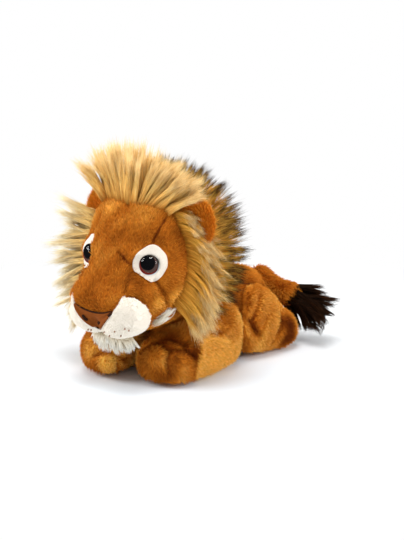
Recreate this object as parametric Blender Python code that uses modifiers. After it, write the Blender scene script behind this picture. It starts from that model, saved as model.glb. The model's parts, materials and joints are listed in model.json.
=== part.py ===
"""Plush lion lying on its belly, with its chin over its front paws and its tail laid to its left.

Metres. +Z is up, the nose points along -Y and the lion's own left side is +X.
The origin is on the floor under the belly. Each sewn piece is a node of its own:
a plush skin with its stuffing inside, felt patches, safety eyes and panels of long fur.
"""
import math

import bmesh
import bpy
from mathutils import Euler, Matrix, Vector
from mathutils.bvhtree import BVHTree

OBJECT_NAME = "plush_lion"

# Fabric and fits
PIECE_GAP = 0.0003
FLOOR_FLAT = 0.0016
PLUSH_WALL = 0.0025
FELT_THICKNESS = 0.0012
CUT_OVERRUN = 0.02

# Torso
TORSO_LENGTH = 0.176
TORSO_WIDTH = 0.086
TORSO_HEIGHT = 0.0975
TORSO_CHEST_Y = -0.079

# Head
HEAD_LENGTH = 0.150
HEAD_WIDTH = 0.132
HEAD_HEIGHT = 0.143
HEAD_NOSE_Y = -0.170
HEAD_UNDERSIDE_Z = 0.056
HEAD_CLEARANCE = 0.005
CHIN_CLEARANCE = 0.002

# Neck seam, a ball of stuffing that the head turns and nods on
NECK_RADIUS = 0.030
NECK_FROM_CHEST = 0.036
NECK_HEIGHT = 0.086
NECK_CLEARANCE = 0.0009

# Front legs. The right one lies further forward and further out than the left.
FORELEG_LENGTH = 0.124
FORELEG_WIDTH = 0.064
FORELEG_HEIGHT = 0.0825
FORELEG_PAW_Y = -0.119
FORELEG_OUTER_X = 0.065
FORELEG_RIGHT_FORWARD = 0.017
FORELEG_RIGHT_OUT = 0.012
FORELEG_PIVOT_FROM_ELBOW = 0.018

# Hind legs
HINDLEG_LENGTH = 0.095
HINDLEG_WIDTH = 0.050
HINDLEG_HEIGHT = 0.085
HINDLEG_KNEE_Y = 0.001
HINDLEG_OUTER_X = 0.066
HINDLEG_PIVOT_FROM_KNEE = 0.018

# How far a leg turns away from the torso
LEG_SPREAD = math.radians(15)
LEG_SEAM_GAP = 0.0006

# Tail
TAIL_RADIUS = 0.0138
TAIL_LENGTH = 0.048
TAIL_DROP = 0.011
TAIL_BOW = 0.015
TAIL_HEIGHT = 0.066
TAIL_SEAT_DEPTH = 0.003
TUFT_LENGTH = 0.052
TUFT_RADIUS = 0.019

# Muzzle
PAD_WIDTH = 0.046
PAD_DEPTH = 0.054
PAD_HEIGHT = 0.060
PAD_OUT = 0.0222
PAD_FRONT_LAP = 0.005
PAD_LEAN = math.radians(34)
BEARD_WIDTH = 0.056
BEARD_DEPTH = 0.020
BEARD_LENGTH = 0.024
BEARD_SET_BACK = 0.024
NOSE_WIDTH = 0.046
NOSE_HEIGHT = 0.026
NOSE_THICKNESS = 0.005
NOSE_TILT = math.radians(29)
NOSE_CORNER = 0.004

# Safety eyes
EYE_DIAMETER = 0.020
EYE_DOME_HEIGHT = 0.0062
EYE_BACK_THICKNESS = 0.0016
EYE_OUT_TURN = math.radians(30)
EYE_UP_TURN = math.radians(5)
EYE_SOCKET_DEPTH = 0.014
EYE_SOCKET_REACH = 0.024
SHANK_DIAMETER = 0.0048
SHANK_LENGTH = 0.016
SHANK_CLEARANCE = 0.0004
WASHER_DIAMETER = 0.015
WASHER_THICKNESS = 0.002
WASHER_BELOW_SKIN = 0.0045
EYE_BACK_LOW = FELT_THICKNESS + 2 * PIECE_GAP
PATCH_WIDTH = 0.036
PATCH_HEIGHT = 0.039
PATCH_WAVES = 9
PATCH_WAVE_DEPTH = 0.0006

# Ears
EAR_WIDTH = 0.036
EAR_HEIGHT = 0.048
EAR_THICKNESS = 0.010
EAR_ROOT_CLEARANCE = 0.0008
EAR_OUT_TURN = math.radians(24)

# Mane
MANE_THICKNESS = 0.013
MANE_TIP_THICKNESS = 0.003
CROWN_HAIR_LENGTH = 0.060
CHEEK_HAIR_LENGTH = 0.046
RUFF_THICKNESS = 0.038
RUFF_HAIR_LENGTH = 0.031
MANE_ROOT_DEPTH = 0.004

# Roundness of the stuffed forms
BODY_SIDES = 10
LIMB_SIDES = 8
ROUND_SEGMENTS = 24
BALL_SEGMENTS = 18
BALL_RINGS = 10
BALL_TURN = (math.radians(7), math.radians(5), math.radians(9))
SMALL_RINGS = 8
UNDERSIDE_SHARE = 0.86
HEAD_FULLNESS = 0.86
LIMB_FULLNESS = 0.78

COLOURS = {
    "golden_plush": ((0.50, 0.19, 0.035), 0.95),
    "face_plush": ((0.42, 0.14, 0.022), 0.95),
    "white_plush": ((0.85, 0.80, 0.72), 0.95),
    "mane_fur": ((0.66, 0.38, 0.13), 0.9),
    "dark_mane_fur": ((0.32, 0.15, 0.045), 0.9),
    "tuft_fur": ((0.022, 0.012, 0.005), 0.85),
    "ear_plush": ((0.48, 0.13, 0.015), 0.95),
    "eye_felt": ((0.80, 0.75, 0.68), 0.95),
    "nose_felt": ((0.25, 0.085, 0.035), 0.9),
    "eye_clear": ((0.95, 0.95, 0.95), 0.05),
    "eye_paint": ((0.012, 0.010, 0.010), 0.3),
    "washer_plastic": ((0.75, 0.75, 0.75), 0.5),
    "stuffing": ((0.90, 0.90, 0.90), 1.0),
}

# Shares of a form's length, from its front, and of half its width and its height.
# Each row: along, sideways, half width, underside, top.
TORSO_SHARES = (
    (0.00, 0, 0.00, 0.46, 0.46),
    (0.07, 0, 0.70, 0.09, 0.76),
    (0.25, 0, 0.95, 0.00, 0.94),
    (0.48, 0, 1.00, 0.00, 1.00),
    (0.73, 0, 0.98, 0.00, 0.98),
    (0.93, 0, 0.74, 0.08, 0.80),
    (1.00, 0, 0.00, 0.44, 0.44),
)
HEAD_SHARES = (
    (0.00, 0, 0.00, 0.20, 0.20),
    (0.03, 0, 0.44, 0.06, 0.34),
    (0.11, 0, 0.60, 0.01, 0.49),
    (0.21, 0, 0.71, 0.00, 0.68),
    (0.34, 0, 0.88, 0.00, 0.93),
    (0.52, 0, 0.99, 0.01, 1.01),
    (0.74, 0, 0.98, 0.10, 0.99),
    (0.92, 0, 0.64, 0.28, 0.84),
    (1.00, 0, 0.00, 0.55, 0.55),
)
FORELEG_SHARES = (
    (0.00, -0.30, 0.00, 0.28, 0.28),
    (0.04, -0.26, 0.78, 0.05, 0.52),
    (0.17, -0.06, 1.00, 0.00, 0.63),
    (0.34, 0.02, 1.00, 0.00, 0.68),
    (0.57, 0.20, 0.76, 0.00, 0.86),
    (0.82, 0.20, 0.70, 0.01, 0.98),
    (0.96, 0.18, 0.48, 0.10, 0.78),
    (1.00, 0.18, 0.00, 0.42, 0.42),
)
HINDLEG_SHARES = (
    (0.00, -0.06, 0.00, 0.44, 0.44),
    (0.07, -0.06, 0.66, 0.10, 0.78),
    (0.28, -0.10, 0.98, 0.02, 1.00),
    (0.52, -0.04, 0.98, 0.00, 0.94),
    (0.75, 0.16, 0.78, 0.00, 0.57),
    (0.94, 0.20, 0.70, 0.03, 0.49),
    (1.00, 0.20, 0.00, 0.25, 0.25),
)
TAIL_STEP_SHARES = (0.0, 0.30, 0.64, 0.94, 1.0)
TAIL_CAP_SHARE = 0.74
TAIL_MOUTH_SHARE = 0.50
TAIL_MOUTH_IN_SHARE = 1.15
TUFT_WAY_SHARES = (0.52, 0.60, -0.62)
TUFT_SHARES = ((0.0, 0.0), (0.02, 0.62), (0.30, 0.92), (0.62, 1.0), (0.88, 0.62), (1.0, 0.0))

# Where the face carries its pieces, as shares of the head's length and height
EYE_ALONG_SHARE = 0.27
EYE_HEIGHT_SHARE = 0.513
SOCKET_ALONG_SHARE = 0.21
SOCKET_HEIGHT_SHARE = 0.567
SOCKET_SIDE_SHARE = 0.62
NOSE_HEIGHT_SHARE = 0.19
PAD_HEIGHT_SHARE = 0.155
HAIRLINE_SHARE = 0.36
CHEEK_ALONG_SHARE = 0.49
EAR_ALONG_SHARE = 0.53
RUFF_ALONG_SHARE = 0.68
FACE_CENTRE_SHARE = 0.50
EAR_ANGLE = math.radians(58)
EAR_OUT_SHARE = 0.32
CROWN_HALF_ANGLE = math.radians(48)
CHEEK_ANGLES = (math.radians(62), math.radians(130))
RUFF_HALF_ANGLE = math.radians(122)
CROWN_STEPS = 10
CHEEK_STEPS = 7
RUFF_STEPS = 16
LOCK_SHARE = 0.84

# How far the fur leans back and hangs down, as shares of its reach outwards
CROWN_LEAN_SHARE = 0.10
LEFT_CHEEK_LEAN_SHARE = 0.30
LEFT_CHEEK_FALL_SHARE = 0.90
RIGHT_CHEEK_LEAN_SHARE = -0.20
RIGHT_CHEEK_FALL_SHARE = 0.25
RUFF_LEAN_SHARE = 0.35


def clear_scene():
    """Empty the scene of its objects."""
    for obj in list(bpy.data.objects):
        bpy.data.objects.remove(obj, do_unlink=True)


def make_collection(name):
    """A new collection under the scene."""
    collection = bpy.data.collections.new(name)
    bpy.context.scene.collection.children.link(collection)
    return collection


def make_material(name):
    """A Principled material with the piece's own colour and roughness."""
    colour, roughness = COLOURS[name]
    material = bpy.data.materials.new(name)
    material.use_nodes = True
    shader = material.node_tree.nodes["Principled BSDF"]
    shader.inputs["Base Color"].default_value = (*colour, 1)
    shader.inputs["Roughness"].default_value = roughness
    shader.inputs["Metallic"].default_value = 0
    return material


class Workshop:
    """The collections and materials that every piece shares."""

    def __init__(self):
        self.parts = make_collection(OBJECT_NAME)
        self.cutters = make_collection("cutters")
        self.materials = {name: make_material(name) for name in COLOURS}

    def part(self, name, mesh, finish):
        """A visible piece with its material, shaded smooth."""
        obj = bpy.data.objects.new(name, mesh)
        self.parts.objects.link(obj)
        obj.data.materials.clear()
        obj.data.materials.append(self.materials[finish])
        obj.data.shade_smooth()
        return obj

    def cutter(self, name, mesh):
        """A hidden helper that other pieces are cut by."""
        obj = bpy.data.objects.new(name, mesh)
        self.cutters.objects.link(obj)
        obj.hide_render = True
        obj.display_type = "WIRE"
        return obj


def subdivide(obj, levels=1):
    """Smooth a coarse cage, and split its faces alike on every copy, so that seats fit their pieces."""
    modifier = obj.modifiers.new("rounding", "SUBSURF")
    modifier.levels = levels
    modifier.render_levels = levels
    split = obj.modifiers.new("flat faces", "TRIANGULATE")
    split.quad_method = "FIXED"


def swell(obj, distance):
    """Move a closed surface out along its normals, or in where the distance is negative."""
    modifier = obj.modifiers.new("swell", "DISPLACE")
    modifier.strength = distance
    modifier.mid_level = 0


def cut(obj, *cutters, operation="DIFFERENCE"):
    """Take each cutter away from a piece, or keep only what it shares with them."""
    for cutter in cutters:
        modifier = obj.modifiers.new("cut by " + cutter.name, "BOOLEAN")
        modifier.operation = operation
        modifier.object = cutter
        modifier.solver = "EXACT"


def mesh_from(builder):
    """The mesh that a function builds in an empty bmesh."""
    mesh = bpy.data.meshes.new("mesh")
    bm = bmesh.new()
    builder(bm)
    bmesh.ops.recalc_face_normals(bm, faces=bm.faces)
    bm.to_mesh(mesh)
    bm.free()
    return mesh


def ball_mesh(centre, radius):
    """A sphere, turned a little so that none of its edges runs along a form's middle line."""
    place = Matrix.Translation(centre) @ Euler(BALL_TURN).to_matrix().to_4x4()

    def build(bm):
        bmesh.ops.create_uvsphere(
            bm, u_segments=BALL_SEGMENTS, v_segments=BALL_RINGS, radius=radius, matrix=place
        )

    return mesh_from(build)


def egg_mesh(place, half_sizes, segments=BALL_SEGMENTS, rings=BALL_RINGS):
    """A sphere stretched to three half sizes, then put in its place."""
    stretch = Matrix.Diagonal((*half_sizes, 1))

    def build(bm):
        bmesh.ops.create_uvsphere(
            bm, u_segments=segments, v_segments=rings, radius=1, matrix=place @ stretch
        )

    return mesh_from(build)


def rod_mesh(place, radius, start, end):
    """A round bar along the local Z of a place, from one height to another."""
    middle = Matrix.Translation((0, 0, (start + end) / 2))

    def build(bm):
        bmesh.ops.create_cone(
            bm, cap_ends=True, segments=ROUND_SEGMENTS, radius1=radius, radius2=radius,
            depth=end - start, matrix=place @ middle,
        )

    return mesh_from(build)


def block_mesh(low, high):
    """A box between two corners."""
    sizes = [b - a for a, b in zip(low, high)]
    middle = [(a + b) / 2 for a, b in zip(low, high)]
    place = Matrix.Translation(middle) @ Matrix.Diagonal((*sizes, 1))

    def build(bm):
        bmesh.ops.create_cube(bm, size=1, matrix=place)

    return mesh_from(build)


def lofted_mesh(loops):
    """A closed skin over loops of points. A loop of one point ends the form in a tip."""

    def build(bm):
        rows = [[bm.verts.new(point) for point in loop] for loop in loops]
        for row, following in zip(rows, rows[1:]):
            count = max(len(row), len(following))
            for i in range(count):
                j = (i + 1) % count
                if len(row) == 1:
                    bm.faces.new((row[0], following[i], following[j]))
                elif len(following) == 1:
                    bm.faces.new((row[i], following[0], row[j]))
                else:
                    bm.faces.new((row[i], following[i], following[j], row[j]))
        for row in (rows[0], rows[-1]):
            if len(row) > 1:
                bm.faces.new(row)

    return mesh_from(build)


def full(value, fullness):
    """A sine or cosine raised to a power below one, which squares a round section up."""
    return math.copysign(abs(value) ** fullness, value)


def stuffed_ring(centre, side, up, sides, fullness=1):
    """Points round a stuffed section. The lowest ones lie level, as stuffing settles.

    Smoothing a cage of n sides draws it in by the cosine of half a step, so the
    ring is made that much larger.
    """
    grown = 1 / math.cos(math.pi / sides)
    points = []
    for i in range(sides):
        angle = 2 * math.pi * (i + 0.5) / sides - math.pi / 2
        rise = full(math.sin(angle), fullness) * grown
        if rise < 0:
            rise = max(rise, -UNDERSIDE_SHARE) / UNDERSIDE_SHARE
        points.append(centre + side * full(math.cos(angle), fullness) * grown + up * rise)
    return points


def form_mesh(front, length, width, base, height, shares, sides, middle=0, hand=1, fullness=1):
    """A stuffed form along +Y, lofted through its table of shares."""
    loops = []
    for along, sideways, half, low, top in shares:
        centre = Vector((
            hand * (middle + sideways * width / 2),
            front + along * length,
            base + (low + top) * height / 2,
        ))
        if half == 0:
            loops.append([centre])
            continue
        side = Vector((half * width / 2, 0, 0))
        up = Vector((0, 0, (top - low) * height / 2))
        loops.append(stuffed_ring(centre, side, up, sides, fullness))
    return lofted_mesh(loops)


def drawn_in(mesh, centre, way, depth, reach):
    """Pull a cage's points along a direction near a place, fading to nothing at the reach."""
    for vertex in mesh.vertices:
        share = (vertex.co - centre).length / reach
        if share < 1:
            vertex.co += way * depth * (1 - share * share)


def rounded(workshop, name, mesh, grown=0):
    """A stuffed form as a hidden solid, grown by a clearance where other pieces need one."""
    solid = workshop.cutter(name, mesh)
    subdivide(solid)
    if grown:
        swell(solid, grown)
    return solid


def skin_and_stuffing(workshop, name, mesh, finish, cutters, floor=None, pockets=()):
    """The plush skin of a form, open where its neighbours cut it, and the stuffing inside."""
    skin = workshop.part(name + "_skin", mesh, finish)
    subdivide(skin)
    wall = skin.modifiers.new("plush wall", "SOLIDIFY")
    wall.thickness = PLUSH_WALL
    wall.offset = -1
    cut(skin, *cutters)
    if floor:
        cut(skin, floor)
    stuffing = workshop.part(name + "_stuffing", mesh.copy(), "stuffing")
    subdivide(stuffing)
    swell(stuffing, -PLUSH_WALL - PIECE_GAP)
    cut(stuffing, *cutters, *pockets)
    return skin, stuffing


def surface_of(obj):
    """A tree for finding points on the surface that an object's modifiers give."""
    bpy.context.view_layer.update()
    return BVHTree.FromObject(obj, bpy.context.evaluated_depsgraph_get())


def hit(tree, start, way):
    """Where a ray from inside a form leaves it, and the outward normal there."""
    point, normal, _, _ = tree.ray_cast(start, way)
    return point, normal


def facing(point, way, up=Vector((0, 0, 1))):
    """A place whose local Z looks along a direction, with its local Y as near up as it can be."""
    forward = way.normalized()
    side = up.cross(forward).normalized()
    turn = Matrix((side, forward.cross(side), forward)).transposed()
    return Matrix.Translation(point) @ turn.to_4x4()


def wave_outline(width, height, waves, depth, steps_per_wave=4):
    """An oval with a softly waved edge, as hand-cut felt has."""
    count = waves * steps_per_wave
    points = []
    for i in range(count):
        angle = 2 * math.pi * i / count
        ripple = depth * math.cos(waves * angle)
        points.append(((width / 2 + ripple) * math.cos(angle), (height / 2 + ripple) * math.sin(angle)))
    return points


def prism_mesh(place, outline, start, end):
    """A flat outline drawn out along the local Z of a place."""
    loops = [[place @ Vector((x, y, z)) for x, y in outline] for z in (start, end)]
    return lofted_mesh(loops)


def origin_at(obj, point):
    """Put an object's origin on a point without moving its shape."""
    obj.data.transform(Matrix.Translation(-point))
    obj.location = point


class Lion:
    """All pieces of the toy, made from the largest forms to the smallest."""

    def __init__(self):
        self.shop = Workshop()
        self.neck_pivot = Vector((0, TORSO_CHEST_Y + NECK_FROM_CHEST, NECK_HEIGHT))
        self.torso_rear = TORSO_CHEST_Y + TORSO_LENGTH
        self.head_mesh = form_mesh(
            HEAD_NOSE_Y, HEAD_LENGTH, HEAD_WIDTH, HEAD_UNDERSIDE_Z, HEAD_HEIGHT, HEAD_SHARES, BODY_SIDES,
            fullness=HEAD_FULLNESS,
        )
        for hand in (1, -1):
            drawn_in(
                self.head_mesh,
                self.head_point(SOCKET_ALONG_SHARE, SOCKET_HEIGHT_SHARE, hand * SOCKET_SIDE_SHARE * HEAD_WIDTH / 2),
                -self.eye_way(hand), EYE_SOCKET_DEPTH, EYE_SOCKET_REACH,
            )
        self.torso_mesh = form_mesh(
            TORSO_CHEST_Y, TORSO_LENGTH, TORSO_WIDTH, -FLOOR_FLAT, TORSO_HEIGHT, TORSO_SHARES, BODY_SIDES
        )
        self.head_seat = rounded(self.shop, "head_seat", self.head_mesh.copy(), PIECE_GAP)
        self.head_space = rounded(self.shop, "head_space", self.head_mesh.copy(), HEAD_CLEARANCE)
        self.chin_space = rounded(self.shop, "chin_space", self.head_mesh.copy(), CHIN_CLEARANCE)
        self.torso_seat = rounded(self.shop, "torso_seat", self.torso_mesh.copy(), LEG_SEAM_GAP)
        self.face = surface_of(rounded(self.shop, "head_form", self.head_mesh.copy()))
        self.rump = surface_of(rounded(self.shop, "torso_form", self.torso_mesh.copy()))
        self.neck_socket = self.shop.cutter(
            "neck_socket", ball_mesh(self.neck_pivot, NECK_RADIUS + NECK_CLEARANCE)
        )
        reach = HEAD_LENGTH + TORSO_LENGTH
        self.floor = self.shop.cutter(
            "floor", block_mesh((-reach, -reach, -CUT_OVERRUN), (reach, reach, 0))
        )
        self.pieces = {}
        self.ear_seats = []

    def head_point(self, along_share, height_share, x=0):
        """A point inside the head, by shares of its length and height."""
        return Vector((
            x,
            HEAD_NOSE_Y + along_share * HEAD_LENGTH,
            HEAD_UNDERSIDE_Z + height_share * HEAD_HEIGHT,
        ))

    def torso(self):
        """The torso's skin and stuffing, hollowed for the neck seam and the tail's root."""
        rear, _ = hit(self.rump, Vector((0, 0, TAIL_HEIGHT)), Vector((0, 1, 0)))
        self.tail_pivot = rear + Vector((0, TAIL_RADIUS - TAIL_SEAT_DEPTH, 0))
        tail_socket = self.shop.cutter(
            "tail_socket", ball_mesh(self.tail_pivot, TAIL_RADIUS + PIECE_GAP)
        )
        cutters = (self.head_space, self.neck_socket, tail_socket)
        skin_and_stuffing(
            self.shop, "torso", self.torso_mesh, "golden_plush", cutters, floor=self.floor
        )
        self.torso_space = rounded(self.shop, "torso_space", self.torso_mesh.copy(), PIECE_GAP)
        cut(self.torso_space, self.shop.cutter("tail_ball", ball_mesh(self.tail_pivot, TAIL_RADIUS)))

    def neck(self):
        """The ball of stuffing in the neck seam."""
        mesh = ball_mesh(self.neck_pivot, NECK_RADIUS)
        ball = self.shop.part("neck_stuffing", mesh, "stuffing")
        origin_at(ball, self.neck_pivot)

    def head(self):
        """The head's skin and stuffing, with holes and pockets for the two safety eyes."""
        self.eye_places = {}
        self.eye_spaces = {}
        holes = []
        pockets = []
        for side, hand in (("left", 1), ("right", -1)):
            place = self.eye_place(hand)
            self.eye_places[side] = place
            pressed = rod_mesh(place, EYE_DIAMETER / 2 + PIECE_GAP, EYE_BACK_LOW - PIECE_GAP, CUT_OVERRUN)
            self.eye_spaces[side] = self.shop.cutter("eye_space_" + side, pressed)
            hole = rod_mesh(place, SHANK_DIAMETER / 2 + SHANK_CLEARANCE, -SHANK_LENGTH, CUT_OVERRUN)
            holes.append(self.shop.cutter("shank_hole_" + side, hole))
            pocket = rod_mesh(
                place, WASHER_DIAMETER / 2 + SHANK_CLEARANCE, -SHANK_LENGTH - PIECE_GAP, CUT_OVERRUN
            )
            pockets.append(self.shop.cutter("washer_pocket_" + side, pocket))
        skin, stuffing = skin_and_stuffing(
            self.shop, "head", self.head_mesh, "face_plush", (self.neck_socket,), pockets=pockets
        )
        cut(skin, *holes, *self.eye_spaces.values())
        for piece in (skin, stuffing):
            self.keep_on(piece, self.neck_pivot)

    def keep_on(self, obj, pivot):
        """Hang a piece on an empty that stands at its joint."""
        key = tuple(round(c / PIECE_GAP) for c in pivot)
        if key not in self.pieces:
            empty = bpy.data.objects.new("pivot_" + str(len(self.pieces)), None)
            self.shop.parts.objects.link(empty)
            empty.location = pivot
            self.pieces[key] = empty
        bpy.context.view_layer.update()
        obj.parent = self.pieces[key]
        obj.matrix_parent_inverse = Matrix.Translation(pivot).inverted()

    def eye_way(self, hand):
        """The way an eye looks: out to its own side and a little up."""
        return Vector((
            hand * math.sin(EYE_OUT_TURN) * math.cos(EYE_UP_TURN),
            -math.cos(EYE_OUT_TURN) * math.cos(EYE_UP_TURN),
            math.sin(EYE_UP_TURN),
        ))

    def eye_place(self, hand):
        """Where an eye sits, in its socket beside the bridge of the nose."""
        inside = self.head_point(EYE_ALONG_SHARE, EYE_HEIGHT_SHARE)
        point, _ = hit(self.face, inside, Vector((hand, 0, 0)))
        return facing(point, self.eye_way(hand))

    def eye(self, side):
        """A safety eye: clear dome, painted back with its shank, washer and felt patch."""
        place = self.eye_places[side]
        dome_low = EYE_BACK_LOW + EYE_BACK_THICKNESS + PIECE_GAP
        radius = EYE_DIAMETER / 2

        dome = egg_mesh(
            place @ Matrix.Translation((0, 0, dome_low)), (radius, radius, EYE_DOME_HEIGHT),
            segments=ROUND_SEGMENTS, rings=SMALL_RINGS,
        )
        dome = self.shop.part("eye_dome_" + side, dome, "eye_clear")
        below = rod_mesh(place, EYE_DIAMETER, -EYE_DIAMETER, dome_low)
        cut(dome, self.shop.cutter("dome_flat_" + side, below))

        back = self.shop.part("eye_back_" + side, self.turned_back(place), "eye_paint")

        washer_top = -PLUSH_WALL - WASHER_BELOW_SKIN
        washer = rod_mesh(place, WASHER_DIAMETER / 2, washer_top - WASHER_THICKNESS, washer_top)
        washer = self.shop.part("eye_washer_" + side, washer, "washer_plastic")
        bore = rod_mesh(place, SHANK_DIAMETER / 2 + PIECE_GAP, -SHANK_LENGTH, CUT_OVERRUN)
        cut(washer, self.shop.cutter("washer_bore_" + side, bore))

        outline = wave_outline(PATCH_WIDTH, PATCH_HEIGHT, PATCH_WAVES, PATCH_WAVE_DEPTH)
        patch = self.shop.part(
            "eye_patch_" + side, prism_mesh(place, outline, -CUT_OVERRUN, CUT_OVERRUN), "eye_felt"
        )
        cut(patch, self.felt_space, operation="INTERSECT")
        cut(patch, self.head_seat, self.eye_spaces[side], self.shop.cutter(
            "patch_hole_" + side, rod_mesh(place, SHANK_DIAMETER / 2 + PIECE_GAP, -CUT_OVERRUN, CUT_OVERRUN)
        ))
        for piece in (dome, back, washer, patch):
            self.keep_on(piece, self.neck_pivot)

    def turned_back(self, place):
        """The eye's painted disc and its shank, as one turned shape."""
        low = EYE_BACK_LOW
        radius = EYE_DIAMETER / 2
        shank = SHANK_DIAMETER / 2
        profile = (
            (radius, low + EYE_BACK_THICKNESS),
            (radius, low),
            (shank, low),
            (shank, -SHANK_LENGTH + shank / 2),
            (shank / 2, -SHANK_LENGTH),
        )
        loops = []
        for r, z in profile:
            loops.append([
                place @ Vector((
                    r * math.cos(2 * math.pi * i / ROUND_SEGMENTS),
                    r * math.sin(2 * math.pi * i / ROUND_SEGMENTS), z,
                ))
                for i in range(ROUND_SEGMENTS)
            ])
        return lofted_mesh(loops)

    def muzzle(self):
        """The two white pads, the brown nose on them and the beard under the chin."""
        self.felt_space = rounded(
            self.shop, "felt_space", self.head_mesh.copy(), PIECE_GAP + FELT_THICKNESS
        )
        nose_point = self.head_point(0, NOSE_HEIGHT_SHARE)
        way = Vector((0, -math.cos(NOSE_TILT), math.sin(NOSE_TILT)))
        nose_place = facing(nose_point, way)
        half = NOSE_WIDTH / 2
        corner = NOSE_CORNER
        outline = (
            (-half + corner, NOSE_HEIGHT / 2), (-half, NOSE_HEIGHT / 2 - corner),
            (-corner, -NOSE_HEIGHT / 2), (corner, -NOSE_HEIGHT / 2),
            (half, NOSE_HEIGHT / 2 - corner), (half - corner, NOSE_HEIGHT / 2),
        )
        nose = self.shop.part(
            "nose_patch", prism_mesh(nose_place, outline, -NOSE_THICKNESS, NOSE_THICKNESS), "nose_felt"
        )
        cut(nose, self.head_seat)
        grown = [(x * (1 + PIECE_GAP / corner), y * (1 + PIECE_GAP / corner)) for x, y in outline]
        nose_space = self.shop.cutter("nose_space", prism_mesh(
            nose_place, grown, -NOSE_THICKNESS - PIECE_GAP, CUT_OVERRUN
        ))
        self.keep_on(nose, self.neck_pivot)

        centre_y = HEAD_NOSE_Y - PAD_FRONT_LAP + PAD_DEPTH / 2
        centre_z = HEAD_UNDERSIDE_Z + PAD_HEIGHT_SHARE * HEAD_HEIGHT
        pads = []
        for side, hand in (("left", 1), ("right", -1)):
            place = Matrix.Translation((hand * PAD_OUT, centre_y, centre_z))
            place = place @ Matrix.Rotation(hand * PAD_LEAN, 4, "Y")
            egg = egg_mesh(place, (PAD_WIDTH / 2, PAD_DEPTH / 2, PAD_HEIGHT / 2))
            pad = self.shop.part("muzzle_pad_" + side, egg, "white_plush")
            reach = PAD_WIDTH
            low = (hand * PIECE_GAP / 2, centre_y - reach, centre_z - reach)
            high = (-hand * reach, centre_y + reach, centre_z + reach)
            low, high = zip(*(sorted(pair) for pair in zip(low, high)))
            other_side = self.shop.cutter("beyond_middle_" + side, block_mesh(low, high))
            cut(pad, self.head_seat, other_side, nose_space)
            self.keep_on(pad, self.neck_pivot)
            pads.append(self.shop.cutter("pad_seat_" + side, egg_mesh(
                place, (PAD_WIDTH / 2 + PIECE_GAP, PAD_DEPTH / 2 + PIECE_GAP, PAD_HEIGHT / 2 + PIECE_GAP)
            )))

        place = Matrix.Translation((
            0, HEAD_NOSE_Y + BEARD_SET_BACK, HEAD_UNDERSIDE_Z - BEARD_LENGTH / 2 + BEARD_DEPTH / 4
        ))
        beard = self.shop.part(
            "chin_beard",
            egg_mesh(place, (BEARD_WIDTH / 2, BEARD_DEPTH / 2, BEARD_LENGTH / 2), rings=SMALL_RINGS),
            "white_plush",
        )
        cut(beard, self.head_seat, *pads)
        self.keep_on(beard, self.neck_pivot)

    def round_point(self, along_share, angle):
        """The head's surface at an angle from straight up, seen from the front, and the way out."""
        inside = self.head_point(along_share, FACE_CENTRE_SHARE)
        way = Vector((math.sin(angle), 0, math.cos(angle)))
        point, _ = hit(self.face, inside, way)
        return point, way

    def ear(self, side, hand):
        """An ear: a plush back and a lining in front, both rooted against the head."""
        point, out = self.round_point(EAR_ALONG_SHARE, hand * EAR_ANGLE)
        forward = Vector((hand * math.sin(EAR_OUT_TURN), -math.cos(EAR_OUT_TURN), 0))
        centre = point + out * EAR_WIDTH * EAR_OUT_SHARE
        place = facing(centre, forward, up=Vector((0, 0, 1)))
        half_sizes = (EAR_WIDTH / 2, EAR_HEIGHT / 2, EAR_THICKNESS / 2)
        reach = EAR_HEIGHT
        front = block_mesh((-reach, -reach, -PIECE_GAP / 2), (reach, reach, reach))
        behind = block_mesh((-reach, -reach, -reach), (reach, reach, PIECE_GAP / 2))
        for name, mesh, taken, finish in (
            ("ear_back_", egg_mesh(place, half_sizes), front, "golden_plush"),
            ("ear_lining_", egg_mesh(place, half_sizes), behind, "ear_plush"),
        ):
            taken.transform(place)
            piece = self.shop.part(name + side, mesh, finish)
            cut(piece, self.shop.cutter(name + "half_" + side, taken), self.ear_root_space)
            self.keep_on(piece, self.neck_pivot)
        roomy = [size + PIECE_GAP for size in half_sizes]
        self.ear_seats.append(self.shop.cutter("ear_seat_" + side, egg_mesh(place, roomy)))

    def mane_strip(self, name, finish, along_shares, angles, thickness, length, lean, droop):
        """A strip of long fur sewn along the head: a wedge from its roots to a toothed row of tips.

        The first share along the head holds at the middle of the strip and the second at its ends.
        Every other step the fur is shorter, by LOCK_SHARE, so the tips part into locks.
        """
        loops = []
        nearest, furthest = along_shares
        widest = max(abs(angle) for angle in angles)
        for i, angle in enumerate(angles):
            along = nearest + (furthest - nearest) * (1 - math.cos(angle)) / (1 - math.cos(widest))
            root, out = self.round_point(along, angle)
            fall = droop * (1 - math.cos(angle)) / 2
            way = (out + Vector((0, lean, -fall))).normalized()
            across = (Vector((0, 1, 0)) - way * way.y).normalized()
            hair = length * (LOCK_SHARE if i % 2 else 1)
            middle = (thickness + MANE_TIP_THICKNESS) / 2
            start = root - out * MANE_ROOT_DEPTH
            loop = []
            for reach, width in ((0, thickness), (hair / 2, middle), (hair, MANE_TIP_THICKNESS)):
                loop.append(start + way * reach - across * width / 2)
            for reach, width in ((hair, MANE_TIP_THICKNESS), (hair / 2, middle), (0, thickness)):
                loop.append(start + way * reach + across * width / 2)
            loops.append(loop)
        strip = self.shop.part(name, lofted_mesh(loops), finish)
        strip.data.shade_flat()
        strip.modifiers.new("flat faces", "TRIANGULATE")
        cut(strip, self.head_seat, *self.ear_seats)
        self.keep_on(strip, self.neck_pivot)

    def mane(self):
        """The crown strip, two cheek strips and the dark-tipped ruff round the back of the head."""
        def steps(start, end, count):
            return [start + (end - start) * i / count for i in range(count + 1)]

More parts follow.
